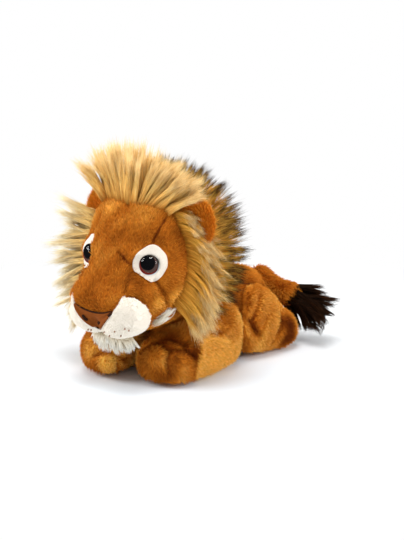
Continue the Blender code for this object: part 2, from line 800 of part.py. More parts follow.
        self.mane_strip(
            "mane_crown", "mane_fur", (HAIRLINE_SHARE, CHEEK_ALONG_SHARE),
            steps(-CROWN_HALF_ANGLE, CROWN_HALF_ANGLE, CROWN_STEPS),
            MANE_THICKNESS, CROWN_HAIR_LENGTH, CROWN_LEAN_SHARE, 0,
        )
        self.mane_strip(
            "mane_cheek_left", "mane_fur", (CHEEK_ALONG_SHARE, CHEEK_ALONG_SHARE),
            steps(*CHEEK_ANGLES, CHEEK_STEPS),
            MANE_THICKNESS, CHEEK_HAIR_LENGTH, LEFT_CHEEK_LEAN_SHARE, LEFT_CHEEK_FALL_SHARE,
        )
        self.mane_strip(
            "mane_cheek_right", "mane_fur", (CHEEK_ALONG_SHARE, CHEEK_ALONG_SHARE),
            [-a for a in steps(*CHEEK_ANGLES, CHEEK_STEPS)],
            MANE_THICKNESS, CHEEK_HAIR_LENGTH, RIGHT_CHEEK_LEAN_SHARE, RIGHT_CHEEK_FALL_SHARE,
        )
        self.mane_strip(
            "mane_ruff", "dark_mane_fur", (RUFF_ALONG_SHARE, RUFF_ALONG_SHARE),
            steps(-RUFF_HALF_ANGLE, RUFF_HALF_ANGLE, RUFF_STEPS),
            RUFF_THICKNESS, RUFF_HAIR_LENGTH, RUFF_LEAN_SHARE, 0,
        )

    def leg(self, name, mesh, pivot, turn, cutters):
        """A leg's skin and stuffing, open against the torso and clear of it while the leg turns."""
        about = Matrix.Translation(pivot) @ Matrix.Rotation(turn, 4, "Z") @ Matrix.Translation(-pivot)
        torso = self.torso_mesh.copy()
        torso.transform(about)
        passed = rounded(self.shop, "torso_past_" + name, torso, LEG_SEAM_GAP)
        pieces = skin_and_stuffing(
            self.shop, name, mesh, "golden_plush", (self.torso_seat, passed, *cutters), floor=self.floor
        )
        for piece in pieces:
            self.keep_on(piece, pivot)

    def legs(self):
        """Two front legs bent forward under the chin and two hind legs folded at the flanks."""
        for side, hand, forward, out in (
            ("left", 1, 0, 0),
            ("right", -1, FORELEG_RIGHT_FORWARD, FORELEG_RIGHT_OUT),
        ):
            paw = FORELEG_PAW_Y - forward
            front = form_mesh(
                paw, FORELEG_LENGTH + forward, FORELEG_WIDTH, -FLOOR_FLAT, FORELEG_HEIGHT,
                FORELEG_SHARES, LIMB_SIDES, FORELEG_OUTER_X + out - FORELEG_WIDTH / 2, hand,
                fullness=LIMB_FULLNESS,
            )
            elbow = FORELEG_PAW_Y + FORELEG_LENGTH
            pivot = Vector((hand * TORSO_WIDTH / 2, elbow - FORELEG_PIVOT_FROM_ELBOW, FORELEG_HEIGHT / 2))
            self.leg("foreleg_" + side, front, pivot, -hand * LEG_SPREAD, (self.chin_space,))

            hind = form_mesh(
                HINDLEG_KNEE_Y, HINDLEG_LENGTH, HINDLEG_WIDTH, -FLOOR_FLAT, HINDLEG_HEIGHT,
                HINDLEG_SHARES, LIMB_SIDES, HINDLEG_OUTER_X - HINDLEG_WIDTH / 2, hand,
            )
            pivot = Vector((
                hand * TORSO_WIDTH / 2, HINDLEG_KNEE_Y + HINDLEG_PIVOT_FROM_KNEE, HINDLEG_HEIGHT / 2
            ))
            self.leg("hindleg_" + side, hind, pivot, hand * LEG_SPREAD, ())

    def tail_ring(self, point, way, radius):
        """One round section of the tail, square to the way it runs."""
        side = way.cross(Vector((0, 0, 1))).normalized()
        up = side.cross(way)
        return stuffed_ring(point, side * radius, up * radius, LIMB_SIDES)

    def tail(self):
        """The tail's skin and stuffing, rooted in a ball seam, and the dark tuft on its end."""
        root = self.tail_pivot
        end = root + Vector((TAIL_LENGTH, -TAIL_SEAT_DEPTH, -TAIL_DROP))
        bow = root + Vector((TAIL_LENGTH / 3, TAIL_BOW, 0))
        path = [root * (1 - t) ** 2 + bow * 2 * t * (1 - t) + end * t * t for t in TAIL_STEP_SHARES]
        first = (path[1] - path[0]).normalized()
        last = (path[-1] - path[-2]).normalized()
        loops = [[root - first * TAIL_RADIUS]]
        cap = root - first * TAIL_RADIUS * TAIL_CAP_SHARE
        loops.append(self.tail_ring(cap, first, TAIL_RADIUS * math.sqrt(1 - TAIL_CAP_SHARE ** 2)))
        for before, point, after in zip([path[0] - first] + path, path, path[1:] + [path[-1] + last]):
            loops.append(self.tail_ring(point, (after - before).normalized(), TAIL_RADIUS))
        loops.append([end + last * TAIL_SEAT_DEPTH])
        mesh = lofted_mesh(loops)

        pieces = skin_and_stuffing(self.shop, "tail", mesh, "golden_plush", (self.torso_space,))
        cut(pieces[0], self.shop.cutter("tail_mouth", ball_mesh(
            root - Vector((0, TAIL_RADIUS * TAIL_MOUTH_IN_SHARE, 0)), TAIL_RADIUS * TAIL_MOUTH_SHARE
        )))
        tail_seat = rounded(self.shop, "tail_end_seat", mesh.copy(), PIECE_GAP)

        droop = Vector(TUFT_WAY_SHARES).normalized()
        side = droop.cross(Vector((0, 0, 1))).normalized()
        up = side.cross(droop)
        loops = []
        for along, wide in TUFT_SHARES:
            centre = end + droop * along * TUFT_LENGTH
            if wide == 0:
                loops.append([centre])
            else:
                loops.append(stuffed_ring(centre, side * wide * TUFT_RADIUS, up * wide * TUFT_RADIUS, LIMB_SIDES))
        tuft = self.shop.part("tail_tuft", lofted_mesh(loops), "tuft_fur")
        subdivide(tuft)
        cut(tuft, tail_seat)
        for piece in (*pieces, tuft):
            self.keep_on(piece, root)

    def build(self):
        """Make every piece."""
        self.torso()
        self.neck()
        self.head()
        self.muzzle()
        for side in ("left", "right"):
            self.eye(side)
        self.ear_root_space = rounded(self.shop, "ear_root_space", self.head_mesh.copy(), EAR_ROOT_CLEARANCE)
        for side, hand in (("left", 1), ("right", -1)):
            self.ear(side, hand)
        self.mane()
        self.legs()
        self.tail()


def main():
    """Build the lion in an empty scene."""
    clear_scene()
    Lion().build()


if __name__ == "__main__":
    main()
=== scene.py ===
"""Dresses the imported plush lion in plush, felt and long fur, and photographs it on a white floor.

Metres. +Z is up, the nose points along -Y and the lion's own left side is +X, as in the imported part.
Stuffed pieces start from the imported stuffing, swelled out to the skin and shaped with creases and
lumps. Fur is real geometry: short spikes for the pile and tapered, curved strands for the long hair.
"""
from __future__ import annotations

import json
import logging
import math
from dataclasses import dataclass, field
from enum import Enum
from functools import cache
from typing import Any, Callable, Sequence

import bpy
import numpy as np
from mathutils import Matrix, Vector
from mathutils.bvhtree import BVHTree
from mathutils.kdtree import KDTree

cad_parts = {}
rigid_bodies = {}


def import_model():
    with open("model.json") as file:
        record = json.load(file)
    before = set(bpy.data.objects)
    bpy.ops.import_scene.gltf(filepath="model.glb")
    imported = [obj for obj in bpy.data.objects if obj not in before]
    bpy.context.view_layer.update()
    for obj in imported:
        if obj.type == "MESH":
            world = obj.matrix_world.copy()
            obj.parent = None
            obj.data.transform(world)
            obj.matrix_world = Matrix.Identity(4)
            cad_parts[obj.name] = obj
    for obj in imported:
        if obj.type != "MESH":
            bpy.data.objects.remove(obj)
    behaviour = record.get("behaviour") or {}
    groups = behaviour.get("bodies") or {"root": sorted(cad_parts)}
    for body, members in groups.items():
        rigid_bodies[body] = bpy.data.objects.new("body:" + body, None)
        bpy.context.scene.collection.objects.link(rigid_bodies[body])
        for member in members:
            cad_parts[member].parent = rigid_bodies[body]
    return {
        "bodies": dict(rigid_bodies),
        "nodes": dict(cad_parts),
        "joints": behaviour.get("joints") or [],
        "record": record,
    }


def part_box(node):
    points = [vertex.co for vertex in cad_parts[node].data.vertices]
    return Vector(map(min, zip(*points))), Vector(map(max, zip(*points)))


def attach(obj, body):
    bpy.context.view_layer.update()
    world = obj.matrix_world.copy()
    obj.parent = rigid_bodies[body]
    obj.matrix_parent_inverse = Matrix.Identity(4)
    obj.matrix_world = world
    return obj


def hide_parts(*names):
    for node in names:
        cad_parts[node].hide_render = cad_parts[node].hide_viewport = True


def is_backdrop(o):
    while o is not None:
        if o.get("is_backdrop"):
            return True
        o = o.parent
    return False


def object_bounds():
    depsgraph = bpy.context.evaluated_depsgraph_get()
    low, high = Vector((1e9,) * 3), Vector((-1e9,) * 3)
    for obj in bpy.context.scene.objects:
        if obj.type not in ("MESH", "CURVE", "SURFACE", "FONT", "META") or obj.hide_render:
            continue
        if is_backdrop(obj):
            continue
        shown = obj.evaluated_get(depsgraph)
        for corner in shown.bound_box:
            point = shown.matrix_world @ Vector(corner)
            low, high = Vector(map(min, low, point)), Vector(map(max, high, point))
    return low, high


LOG = logging.getLogger("plush_lion")
MM = 0.001
SKIN_DEPTH = 1.6 * MM
FLOOR_LIFT = 0.2 * MM
FUR_MARGIN = 13 * MM
BEFORE_NOSE = -0.4

Array = np.ndarray
Colour = tuple[float, float, float]
Mark = tuple[float, ...]
Way = tuple[float, float, float]


class Side(Enum):
    """The lion's own left and right, as the sign of X."""

    LEFT = 1
    RIGHT = -1

    @property
    def word(self) -> str:
        """The name that nodes carry."""
        return self.name.lower()


def unit(vectors: Array) -> Array:
    """Vectors scaled to length one, along the last axis."""
    length = np.linalg.norm(vectors, axis=-1, keepdims=True)
    return vectors / np.maximum(length, 1e-12)


def smooth_step(value: Array, low: float, high: float) -> Array:
    """Zero below low, one above high and 3t^2 - 2t^3 between them."""
    t = np.clip((value - low) / (high - low), 0, 1)
    return t * t * (3 - 2 * t)


def tangential(ways: Array, normals: Array) -> Array:
    """The part of each direction that lies in the surface, at length one."""
    along = (ways * normals).sum(-1, keepdims=True)
    return unit(ways - along * normals)


def waves(points: Array, count: int, length: float, spread: tuple[float, float], seed: int) -> Array:
    """The sum of sine waves of random direction and phase: sin(k . p + phase), where |k| = 2 pi / length.

    Args:
        points: Where they are added up.
        count: How many waves.
        length: Their usual length.
        spread: The least and the greatest share of that length.
        seed: Seed of the random numbers.

    Returns:
        The sum at each point.
    """
    rng = np.random.default_rng(seed)
    total = np.zeros(len(points))
    for _ in range(count):
        way = unit(rng.normal(size=3)) * 2 * math.pi / (length * rng.uniform(*spread))
        total += np.sin(points @ way + rng.uniform(0, 2 * math.pi))
    return total


def mottle(points: Array, length: float, seed: int) -> Array:
    """Soft patches from about -1 to 1: half the sum of four waves."""
    return waves(points, 4, length, (0.7, 1.5), seed) / 2


def lift(points: Array, height: float = FLOOR_LIFT) -> None:
    """Raise the points that lie lower than a height above the floor to it, in place."""
    points[..., 2] = np.maximum(points[..., 2], height)


def nearest(points: Array, centres: Array) -> Array:
    """The number of the centre nearest to each point."""
    tree = KDTree(len(centres))
    for i, centre in enumerate(centres):
        tree.insert(Vector(centre), i)
    tree.balance()
    return np.array([tree.find(Vector(point))[1] for point in points])


def fall(starts: Array, way: Sequence[float], trees: Sequence[BVHTree]) -> Array:
    """How far each start lies from the first surface along a direction, endless where there is none."""
    found = [
        [tree.ray_cast(Vector(start), Vector(way))[3] for tree in trees] for start in starts.reshape(-1, 3)
    ]
    return np.nan_to_num(np.array(found, float), nan=np.inf).min(1).reshape(starts.shape[:-1])


@dataclass(frozen=True)
class PhotoCamera:
    """The camera that took the photograph, fitted to it. Pixels are counted from the top left."""

    azimuth: float = math.radians(40)
    elevation: float = math.radians(13.5)
    distance: float = 1.25
    focal_px: float = 1200
    width_px: float = 404
    height_px: float = 540
    sensor: float = 36 * MM
    target: tuple[float, float, float] = (17 * MM, -25 * MM, 102 * MM)

    @property
    def axes(self) -> tuple[Array, Array, Array]:
        """The camera's right, up and back directions."""
        sa, ca = math.sin(self.azimuth), math.cos(self.azimuth)
        se, ce = math.sin(self.elevation), math.cos(self.elevation)
        back = np.array((sa * ce, -ca * ce, se))
        right = np.array((ca, sa, 0.0))
        return right, np.cross(back, right), back

    @property
    def place(self) -> Array:
        """Where the camera stands."""
        return np.array(self.target) + self.axes[2] * self.distance

    def ray(self, pixel: tuple[float, float]) -> Array:
        """The direction from the camera through a pixel: right * u + up * v - back.

        Args:
            pixel: Column and row in the photograph.

        Returns:
            A direction of length one.
        """
        right, up, back = self.axes
        u = (pixel[0] - self.width_px / 2) / self.focal_px
        v = (self.height_px / 2 - pixel[1]) / self.focal_px
        return unit(right * u + up * v - back)

    def build(self) -> bpy.types.Object:
        """Put the camera in the scene and make it the one that renders."""
        data = bpy.data.cameras.new("photo_camera")
        data.sensor_width = self.sensor / MM
        data.sensor_fit = "AUTO"
        data.lens = self.focal_px / self.height_px * data.sensor_width
        data.clip_end = 20 * self.distance
        camera = bpy.data.objects.new("photo_camera", data)
        bpy.context.scene.collection.objects.link(camera)
        turn = Matrix([Vector(axis) for axis in self.axes]).transposed().to_4x4()
        camera.matrix_world = Matrix.Translation(Vector(self.place)) @ turn
        bpy.context.scene.camera = camera
        return camera


CAMERA = PhotoCamera()


class NodeTree:
    """The nodes of one material or world, with short calls that add and join them."""

    def __init__(self, owner: bpy.types.Material | bpy.types.World):
        """Turn the owner's nodes on."""
        owner.use_nodes = True
        self.nodes, self.links = owner.node_tree.nodes, owner.node_tree.links

    def feed(self, node: bpy.types.Node, inputs: dict[str | int, Any]) -> None:
        """Set a node's sockets.

        Args:
            node: The node.
            inputs: For a socket's name or number a value, or the other node's socket that is joined to it.
        """
        for name, value in inputs.items():
            socket = node.inputs[name]
            if isinstance(value, bpy.types.NodeSocket):
                self.links.new(value, socket)
            else:
                socket.default_value = (*value, 1) if socket.type == "RGBA" else value

    def add(self, kind: str, inputs: dict[str | int, Any] | None = None, **settings: Any) -> bpy.types.Node:
        """Add a node.

        Args:
            kind: Its type, without the word ShaderNode.
            inputs: What its sockets take, as in feed.
            settings: Its own settings.

        Returns:
            The node.
        """
        node = self.nodes.new("ShaderNode" + kind)
        for name, value in settings.items():
            setattr(node, name, value)
        self.feed(node, inputs or {})
        return node

    def ramp(self, share: bpy.types.NodeSocket, *stops: tuple[float, Colour]) -> bpy.types.NodeSocket:
        """A colour that a share picks from stops, each a place and a colour, from the lowest up."""
        node = self.add("ValToRGB", {"Fac": share})
        elements = node.color_ramp.elements
        for element, (place, colour) in zip(elements, (stops[0], stops[-1])):
            element.position, element.color = place, (*colour, 1)
        for place, colour in stops[1:-1]:
            elements.new(place).color = (*colour, 1)
        return node.outputs["Color"]

    def tinted(self, colour: Any, tint: Any, amount: Any) -> bpy.types.NodeSocket:
        """A colour multiplied by a tint, to an amount from 0 to 1."""
        inputs = {"Factor": amount, "A": colour, "B": tint}
        return self.add("Mix", inputs, data_type="RGBA", blend_type="MULTIPLY").outputs["Result"]

    def mixed(self, share: Any, first: bpy.types.Node, second: bpy.types.Node) -> bpy.types.Node:
        """Two shaders mixed, with a share from 0 to 1 of the second."""
        return self.add("MixShader", {"Fac": share, 1: first.outputs[0], 2: second.outputs[0]})


@dataclass(frozen=True)
class FurFinish:
    """Dyed fibre: darker at the root, lighter at the tip, and a little different from hair to hair.

    In the short pile the darker root and lighter tip are partly the fibre's own colour and partly painted
    shade deep in the pile and painted highlight on the tips.
    """

    name: str
    root: Colour
    middle: Colour
    tip: Colour
    # shade is the tint of painted shade and glow the tint of painted highlight; both also give darker and
    # lighter hairs where the zone varies at random
    shade: Colour
    glow: Colour
    variation: float = 0.20
    tip_start: float = 0.55
    tip_full: float = 1.0
    roughness: float = 0.8
    gloss: float = 0.08

    @cache
    def build(self) -> bpy.types.Material:
        """Make the material.

        The V of the fur's own UV map runs from root to tip and U is the hair's own random number.
        The attribute zone paints light and shade into the colour: -1 is painted shade where the pile lies
        away from the light, -2 deeper painted shade in a fold and 1 a painted highlight where it shines.
        Where it only varies at random it gives lighter and darker hairs.
        """
        material = bpy.data.materials.new(self.name)
        tree = NodeTree(material)
        hair = tree.add("SeparateXYZ", {"Vector": tree.add("UVMap", uv_map="fur").outputs["UV"]})
        stops = (0, self.root), (self.tip_start, self.middle), (self.tip_full, self.tip)
        colour = tree.ramp(hair.outputs["Y"], *stops)
        zone = tree.add("Attribute", attribute_name="zone").outputs["Fac"]
        for sign, offset, tint in ((-1, 0, self.shade), (-1, -1, self.shade), (1, 0, self.glow)):
            amount = tree.add("Math", {0: zone, 1: sign, 2: offset}, operation="MULTIPLY_ADD", use_clamp=True)
            colour = tree.tinted(colour, tint, amount.outputs["Value"])
        vary = tree.add("MapRange", {
            "Value": hair.outputs["X"], "To Min": 1 - self.variation, "To Max": 1 + self.variation,
        })
        tree.feed(tree.nodes["Principled BSDF"], {
            "Base Color": tree.tinted(colour, vary.outputs["Result"], 1),
            "Roughness": self.roughness, "Specular IOR Level": self.gloss,
        })
        return material


@dataclass(frozen=True)
class PlainFinish:
    """A smooth or felted surface with one colour, mottled by noise where a second one is given."""

    name: str
    colour: Colour
    other: Colour | None = None
    grain: float = 900
    roughness: float = 0.9
    sheen: float = 0.2
    gloss: float = 0.15

    @cache
    def build(self) -> bpy.types.Material:
        """Make the material."""
        material = bpy.data.materials.new(self.name)
        tree = NodeTree(material)
        colour = self.colour
        if self.other:
            place = tree.add("TexCoord").outputs["Object"]
            noise = tree.add("TexNoise", {"Vector": place, "Scale": self.grain, "Detail": 4})
            colour = tree.ramp(noise.outputs["Fac"], (0.35, self.other), (0.65, self.colour))
        tree.feed(tree.nodes["Principled BSDF"], {
            "Base Color": colour, "Roughness": self.roughness, "Sheen Weight": self.sheen,
            "Specular IOR Level": self.gloss,
        })
        return material


@dataclass(frozen=True)
class EyeFinish:
    """The painted disc behind the dome: a pale lower rim, which is a painted reflection of the floor, a red
    and brown iris and a black pupil set high.

    Each ring is the shift of its middle to the right and up, its radius and its colour, from the rim in.
    """

    name: str = "painted_iris"
    # rim: the pale blue-grey of the floor mirrored in the dome's lower half, a painted reflection.
    rim: Colour = (0.62, 0.68, 0.74)
    soft: float = 0.03
    roughness: float = 0.25
    rings: tuple[tuple[float, float, float, Colour], ...] = (
        (0.02, 0.15, 0.97, (0.012, 0.010, 0.011)),
        (-0.05, 0.03, 0.87, (0.150, 0.018, 0.014)),
        (0.05, 0.12, 0.78, (0.085, 0.052, 0.045)),
        (-0.10, 0.24, 0.70, (0.003, 0.003, 0.004)),
    )

    @cache
    def build(self) -> bpy.types.Material:
        """Make the material from the disc's own UV map, whose middle is the pole of the disc."""
        material = bpy.data.materials.new(self.name)
        tree = NodeTree(material)
        disc = tree.add("UVMap", uv_map="disc").outputs["UV"]
        colour = self.rim
        for right, up, radius, tint in self.rings:
            apart = tree.add("VectorMath", {0: disc, 1: (right, up, 0)}, operation="SUBTRACT")
            reach = tree.add("VectorMath", {0: apart.outputs["Vector"]}, operation="LENGTH")
            outside = tree.add("MapRange", {
                "Value": reach.outputs["Value"],
                "From Min": radius - self.soft, "From Max": radius + self.soft,
            }, interpolation_type="SMOOTHSTEP")
            inputs = {"Factor": outside.outputs["Result"], "A": tint, "B": colour}
            colour = tree.add("Mix", inputs, data_type="RGBA").outputs["Result"]
        tree.feed(tree.nodes["Principled BSDF"], {
            "Base Color": colour, "Roughness": self.roughness, "Specular IOR Level": 0,
        })
        return material


@dataclass(frozen=True)
class ClearFinish:
    """The eye's polished clear dome, which bends the view of the paint and mirrors a little."""

    name: str = "clear_dome"
    mirror: float = 0.045
    polish: float = 0.05
    index: float = 1.45

    @cache
    def build(self) -> bpy.types.Material:
        """Make the material: it bends what the camera sees and lets all other light straight through."""
        material = bpy.data.materials.new(self.name)
        tree = NodeTree(material)
        tree.nodes.remove(tree.nodes["Principled BSDF"])
        bent = tree.add("BsdfRefraction", {"IOR": self.index, "Roughness": 0})
        seen = tree.add("LightPath").outputs["Is Camera Ray"]
        body = tree.mixed(seen, tree.add("BsdfTransparent"), bent)
        mix = tree.mixed(self.mirror, body, tree.add("BsdfGlossy", {"Roughness": self.polish}))
        tree.feed(tree.nodes["Material Output"], {"Surface": mix.outputs[0]})
        return material


GOLDEN = FurFinish(
    "golden_plush_pile", root=(0.34, 0.094, 0.005), middle=(0.54, 0.168, 0.010), tip=(0.70, 0.26, 0.030),
    shade=(0.42, 0.28, 0.15), glow=(1.48, 2.4, 5.5), variation=0.18,
)
FACE = FurFinish(
    "face_plush_pile", root=(0.27, 0.070, 0.003), middle=(0.52, 0.155, 0.009), tip=(0.70, 0.27, 0.032),
    shade=(0.42, 0.28, 0.15), glow=(1.55, 2.4, 5.0),
)
WHITE = FurFinish(
    "white_plush_pile", root=(0.86, 0.80, 0.70), middle=(0.90, 0.84, 0.75), tip=(0.92, 0.87, 0.79),
    shade=(0.80, 0.68, 0.52), glow=(1, 1, 1), variation=0.02,
)
CREAM = FurFinish(
    "cream_long_fur", root=(0.74, 0.62, 0.44), middle=(0.93, 0.87, 0.75), tip=(0.98, 0.95, 0.87),
    shade=(0.8, 0.7, 0.55), glow=(1, 1, 1), variation=0.08,
)
MANE = FurFinish(
    "golden_mane_fur", root=(0.62, 0.250, 0.022), middle=(0.95, 0.55, 0.095), tip=(0.99, 0.79, 0.44),
    shade=(0.62, 0.42, 0.22), glow=(1.08, 1.25, 1.6), tip_start=0.6,
)
CROWN = FurFinish(
    "crown_mane_fur", root=(0.80, 0.38, 0.060), middle=(0.97, 0.64, 0.200), tip=(0.92, 0.65, 0.30),
    shade=(0.62, 0.42, 0.22), glow=(1.03, 1.2, 1.6), tip_start=0.5,
)
PALE_MANE = FurFinish(
    "pale_mane_fur", root=(0.94, 0.58, 0.13), middle=(0.97, 0.74, 0.33), tip=(0.98, 0.90, 0.68),
    shade=(0.75, 0.55, 0.35), glow=(1.05, 1.2, 1.6), variation=0.18, tip_start=0.5,
)
DARK_MANE = FurFinish(
    "dark_tipped_mane_fur", root=(0.78, 0.33, 0.03), middle=(0.97, 0.54, 0.09), tip=(0.035, 0.014, 0.004),
    shade=(0.34, 0.24, 0.14), glow=(1.10, 1.3, 1.6), variation=0.35, tip_start=0.66, tip_full=0.84,
)
TUFT = FurFinish(
    "dark_tuft_fur", root=(0.010, 0.004, 0.001), middle=(0.014, 0.005, 0.0015), tip=(0.040, 0.014, 0.004),
    shade=(0.6, 0.6, 0.6), glow=(2.6, 2.2, 1.8), variation=0.5,
)
EAR = FurFinish(
    "ear_plush_pile", root=(0.34, 0.075, 0.003), middle=(0.70, 0.200, 0.008), tip=(0.90, 0.38, 0.045),
    shade=(0.5, 0.36, 0.2), glow=(1.2, 1.7, 3.0),
)
EYE_FELT = PlainFinish("cream_felt", (0.78, 0.71, 0.62), other=(0.70, 0.63, 0.54), grain=1100)
NOSE_FELT = PlainFinish("brown_felt", (0.245, 0.062, 0.007), other=(0.195, 0.049, 0.005), grain=1400, sheen=0)
EMBROIDERY = PlainFinish("dark_thread", (0.030, 0.010, 0.004), roughness=1.0, sheen=0)
DOT_THREAD = PlainFinish("whisker_thread", (0.36, 0.19, 0.11), roughness=0.8)
WASHER_PLASTIC = PlainFinish("white_plastic", (0.75, 0.75, 0.75), roughness=0.5, sheen=0)


def link(
    name: str, mesh: bpy.types.Mesh, material: bpy.types.Material, smooth: bool = True
) -> bpy.types.Object:
    """Add a finished mesh to the scene with its material."""
    obj = bpy.data.objects.new(name, mesh)
    bpy.context.scene.collection.objects.link(obj)
    obj.data.materials.clear()
    obj.data.materials.append(material)
    mesh.polygons.foreach_set("use_smooth", np.full(len(mesh.polygons), smooth))
    return obj


def dress(obj: bpy.types.Object, body: str, slot: str, *nodes: str) -> bpy.types.Object:
    """Hide the imported nodes that a new piece stands for, let it move with a body, and log its faces, slot
    and body.
    """
    if nodes:
        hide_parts(*nodes)
    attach(obj, body)
    LOG.info("%s: %d faces, %s, rides %s", obj.name, len(obj.data.polygons), slot, body)
    return obj


def mesh_points(mesh: bpy.types.Mesh) -> Array:
    """A mesh's points."""
    points = np.empty(len(mesh.vertices) * 3, np.float32)
    mesh.vertices.foreach_get("co", points)
    return points.reshape(-1, 3).astype(float)


def triangle_mesh(name: str, points: Array, triangles: Array) -> bpy.types.Mesh:
    """A mesh from arrays of points and of corner numbers."""
    mesh = bpy.data.meshes.new(name)
    mesh.vertices.add(len(points))
    mesh.vertices.foreach_set("co", np.ascontiguousarray(points, np.float32).ravel())
    mesh.loops.add(triangles.size)
    mesh.loops.foreach_set("vertex_index", triangles.astype(np.int32).ravel())
    mesh.polygons.add(len(triangles))
    mesh.polygons.foreach_set("loop_start", np.arange(0, triangles.size, 3, dtype=np.int32))
    mesh.update(calc_edges=True)
    return mesh


def grid_triangles(rows: int, columns: int, closed: bool) -> Array:
    """Corner numbers of a grid of points, two triangles a cell, joined round its columns if closed."""
    across = columns if closed else columns - 1
    i, j = np.meshgrid(np.arange(rows - 1), np.arange(across), indexing="ij")
    a, b = i * columns + j, i * columns + (j + 1) % columns
    c, d = a + columns, b + columns
    return np.stack([np.stack([a, b, d], -1), np.stack([a, d, c], -1)], 2).reshape(-1, 3)


def capped_triangles(rings: int, sides: int) -> Array:
    """Corner numbers of a stack of rings closed by two poles, which are the last two points, low and high."""
    first = np.arange(sides)
    following = (first + 1) % sides
    last = (rings - 1) * sides
    low = np.full(sides, rings * sides)
    return np.concatenate([
        grid_triangles(rings, sides, True),
        np.stack([following, first, low], -1),
        np.stack([first + last, following + last, low + 1], -1),
    ])


def face_crosses(points: Array, triangles: Array) -> Array:
    """Each face's normal at twice its area: (b - a) x (c - a)."""
    a, b, c = (points[triangles[:, k]] for k in range(3))
    return np.cross(b - a, c - a)


def outward(points: Array, triangles: Array) -> Array:
    """The triangles of a closed shape, all turned round if together they look to its middle."""
    out = points[triangles].mean(1) - points.mean(0)
    looks_in = (face_crosses(points, triangles) * out).sum() < 0
    return triangles[:, ::-1] if looks_in else triangles


def turned(profile: Array, segments: int, place: Matrix) -> tuple[Array, Array, Array]:
    """A closed shape turned round local Z: (r cos a, r sin a, z), with a pole at both ends.

    Args:
        profile: Rows of radius and height between the poles, from the bottom up.
        segments: Points round the axis.
        place: Where local Z stands.

    Returns:
        Points, triangles and each point's radius and angle as X and Y of a disc.
    """
    angles = np.arange(segments) * 2 * math.pi / segments
    ring = np.stack([np.cos(angles), np.sin(angles)], -1)
    flat = profile[:, None, :1] * ring[None]
    height = np.broadcast_to(profile[:, None, 1:], (len(profile), segments, 1))
    poles = [(0, 0, profile[0, 1]), (0, 0, profile[-1, 1])]
    points = np.concatenate([np.concatenate([flat, height], -1).reshape(-1, 3), poles])
    matrix = np.array(place)
    disc = points[:, :2] / profile[:, 0].max()
    return points @ matrix[:3, :3].T + matrix[:3, 3], capped_triangles(len(profile), segments), disc


def add_uv(mesh: bpy.types.Mesh, name: str, per_point: Array) -> None:
    """Give each face corner the UV of its point."""
    layer = mesh.uv_layers.new(name=name)
    corners = np.empty(len(mesh.loops), np.int32)
    mesh.loops.foreach_get("vertex_index", corners)
    layer.data.foreach_set("uv", per_point[corners].astype(np.float32).ravel())


def add_value(mesh: bpy.types.Mesh, name: str, per_point: Array) -> None:
    """Give each point a number that materials can read."""
    layer = mesh.attributes.new(name, "FLOAT", "POINT")
    layer.data.foreach_set("value", per_point.astype(np.float32))


def facing(point: Sequence[float], way: Sequence[float]) -> Matrix:
    """A place whose local Z looks along a direction and whose local Y is as near up as it can be."""
    forward = Vector(way).normalized()
    side = Vector((0, 0, 1)).cross(forward).normalized()
    turn = Matrix((side, forward.cross(side), forward)).transposed()
    return Matrix.Translation(point) @ turn.to_4x4()


@dataclass(frozen=True)
class Crease:
    """A line that thread or a fold draws in, or a ridge where its depth is negative.

    A mark of two numbers is a pixel of the photograph, and one of three is a place in millimetres.
    """

    marks: tuple[Mark, ...]
    depth: float
    width: float
    both_sides: bool = False


@dataclass(frozen=True)
class Lump:
    """A round swelling, or a dent where its height is negative, about a mark."""

    mark: Mark
    radius: float
    height: float
    both_sides: bool = False


@dataclass(frozen=True)
class Shade:
    """A round patch of painted shade, or of painted highlight where its value is positive."""

    mark: Mark
    radius: float
    value: float
    both_sides: bool = False


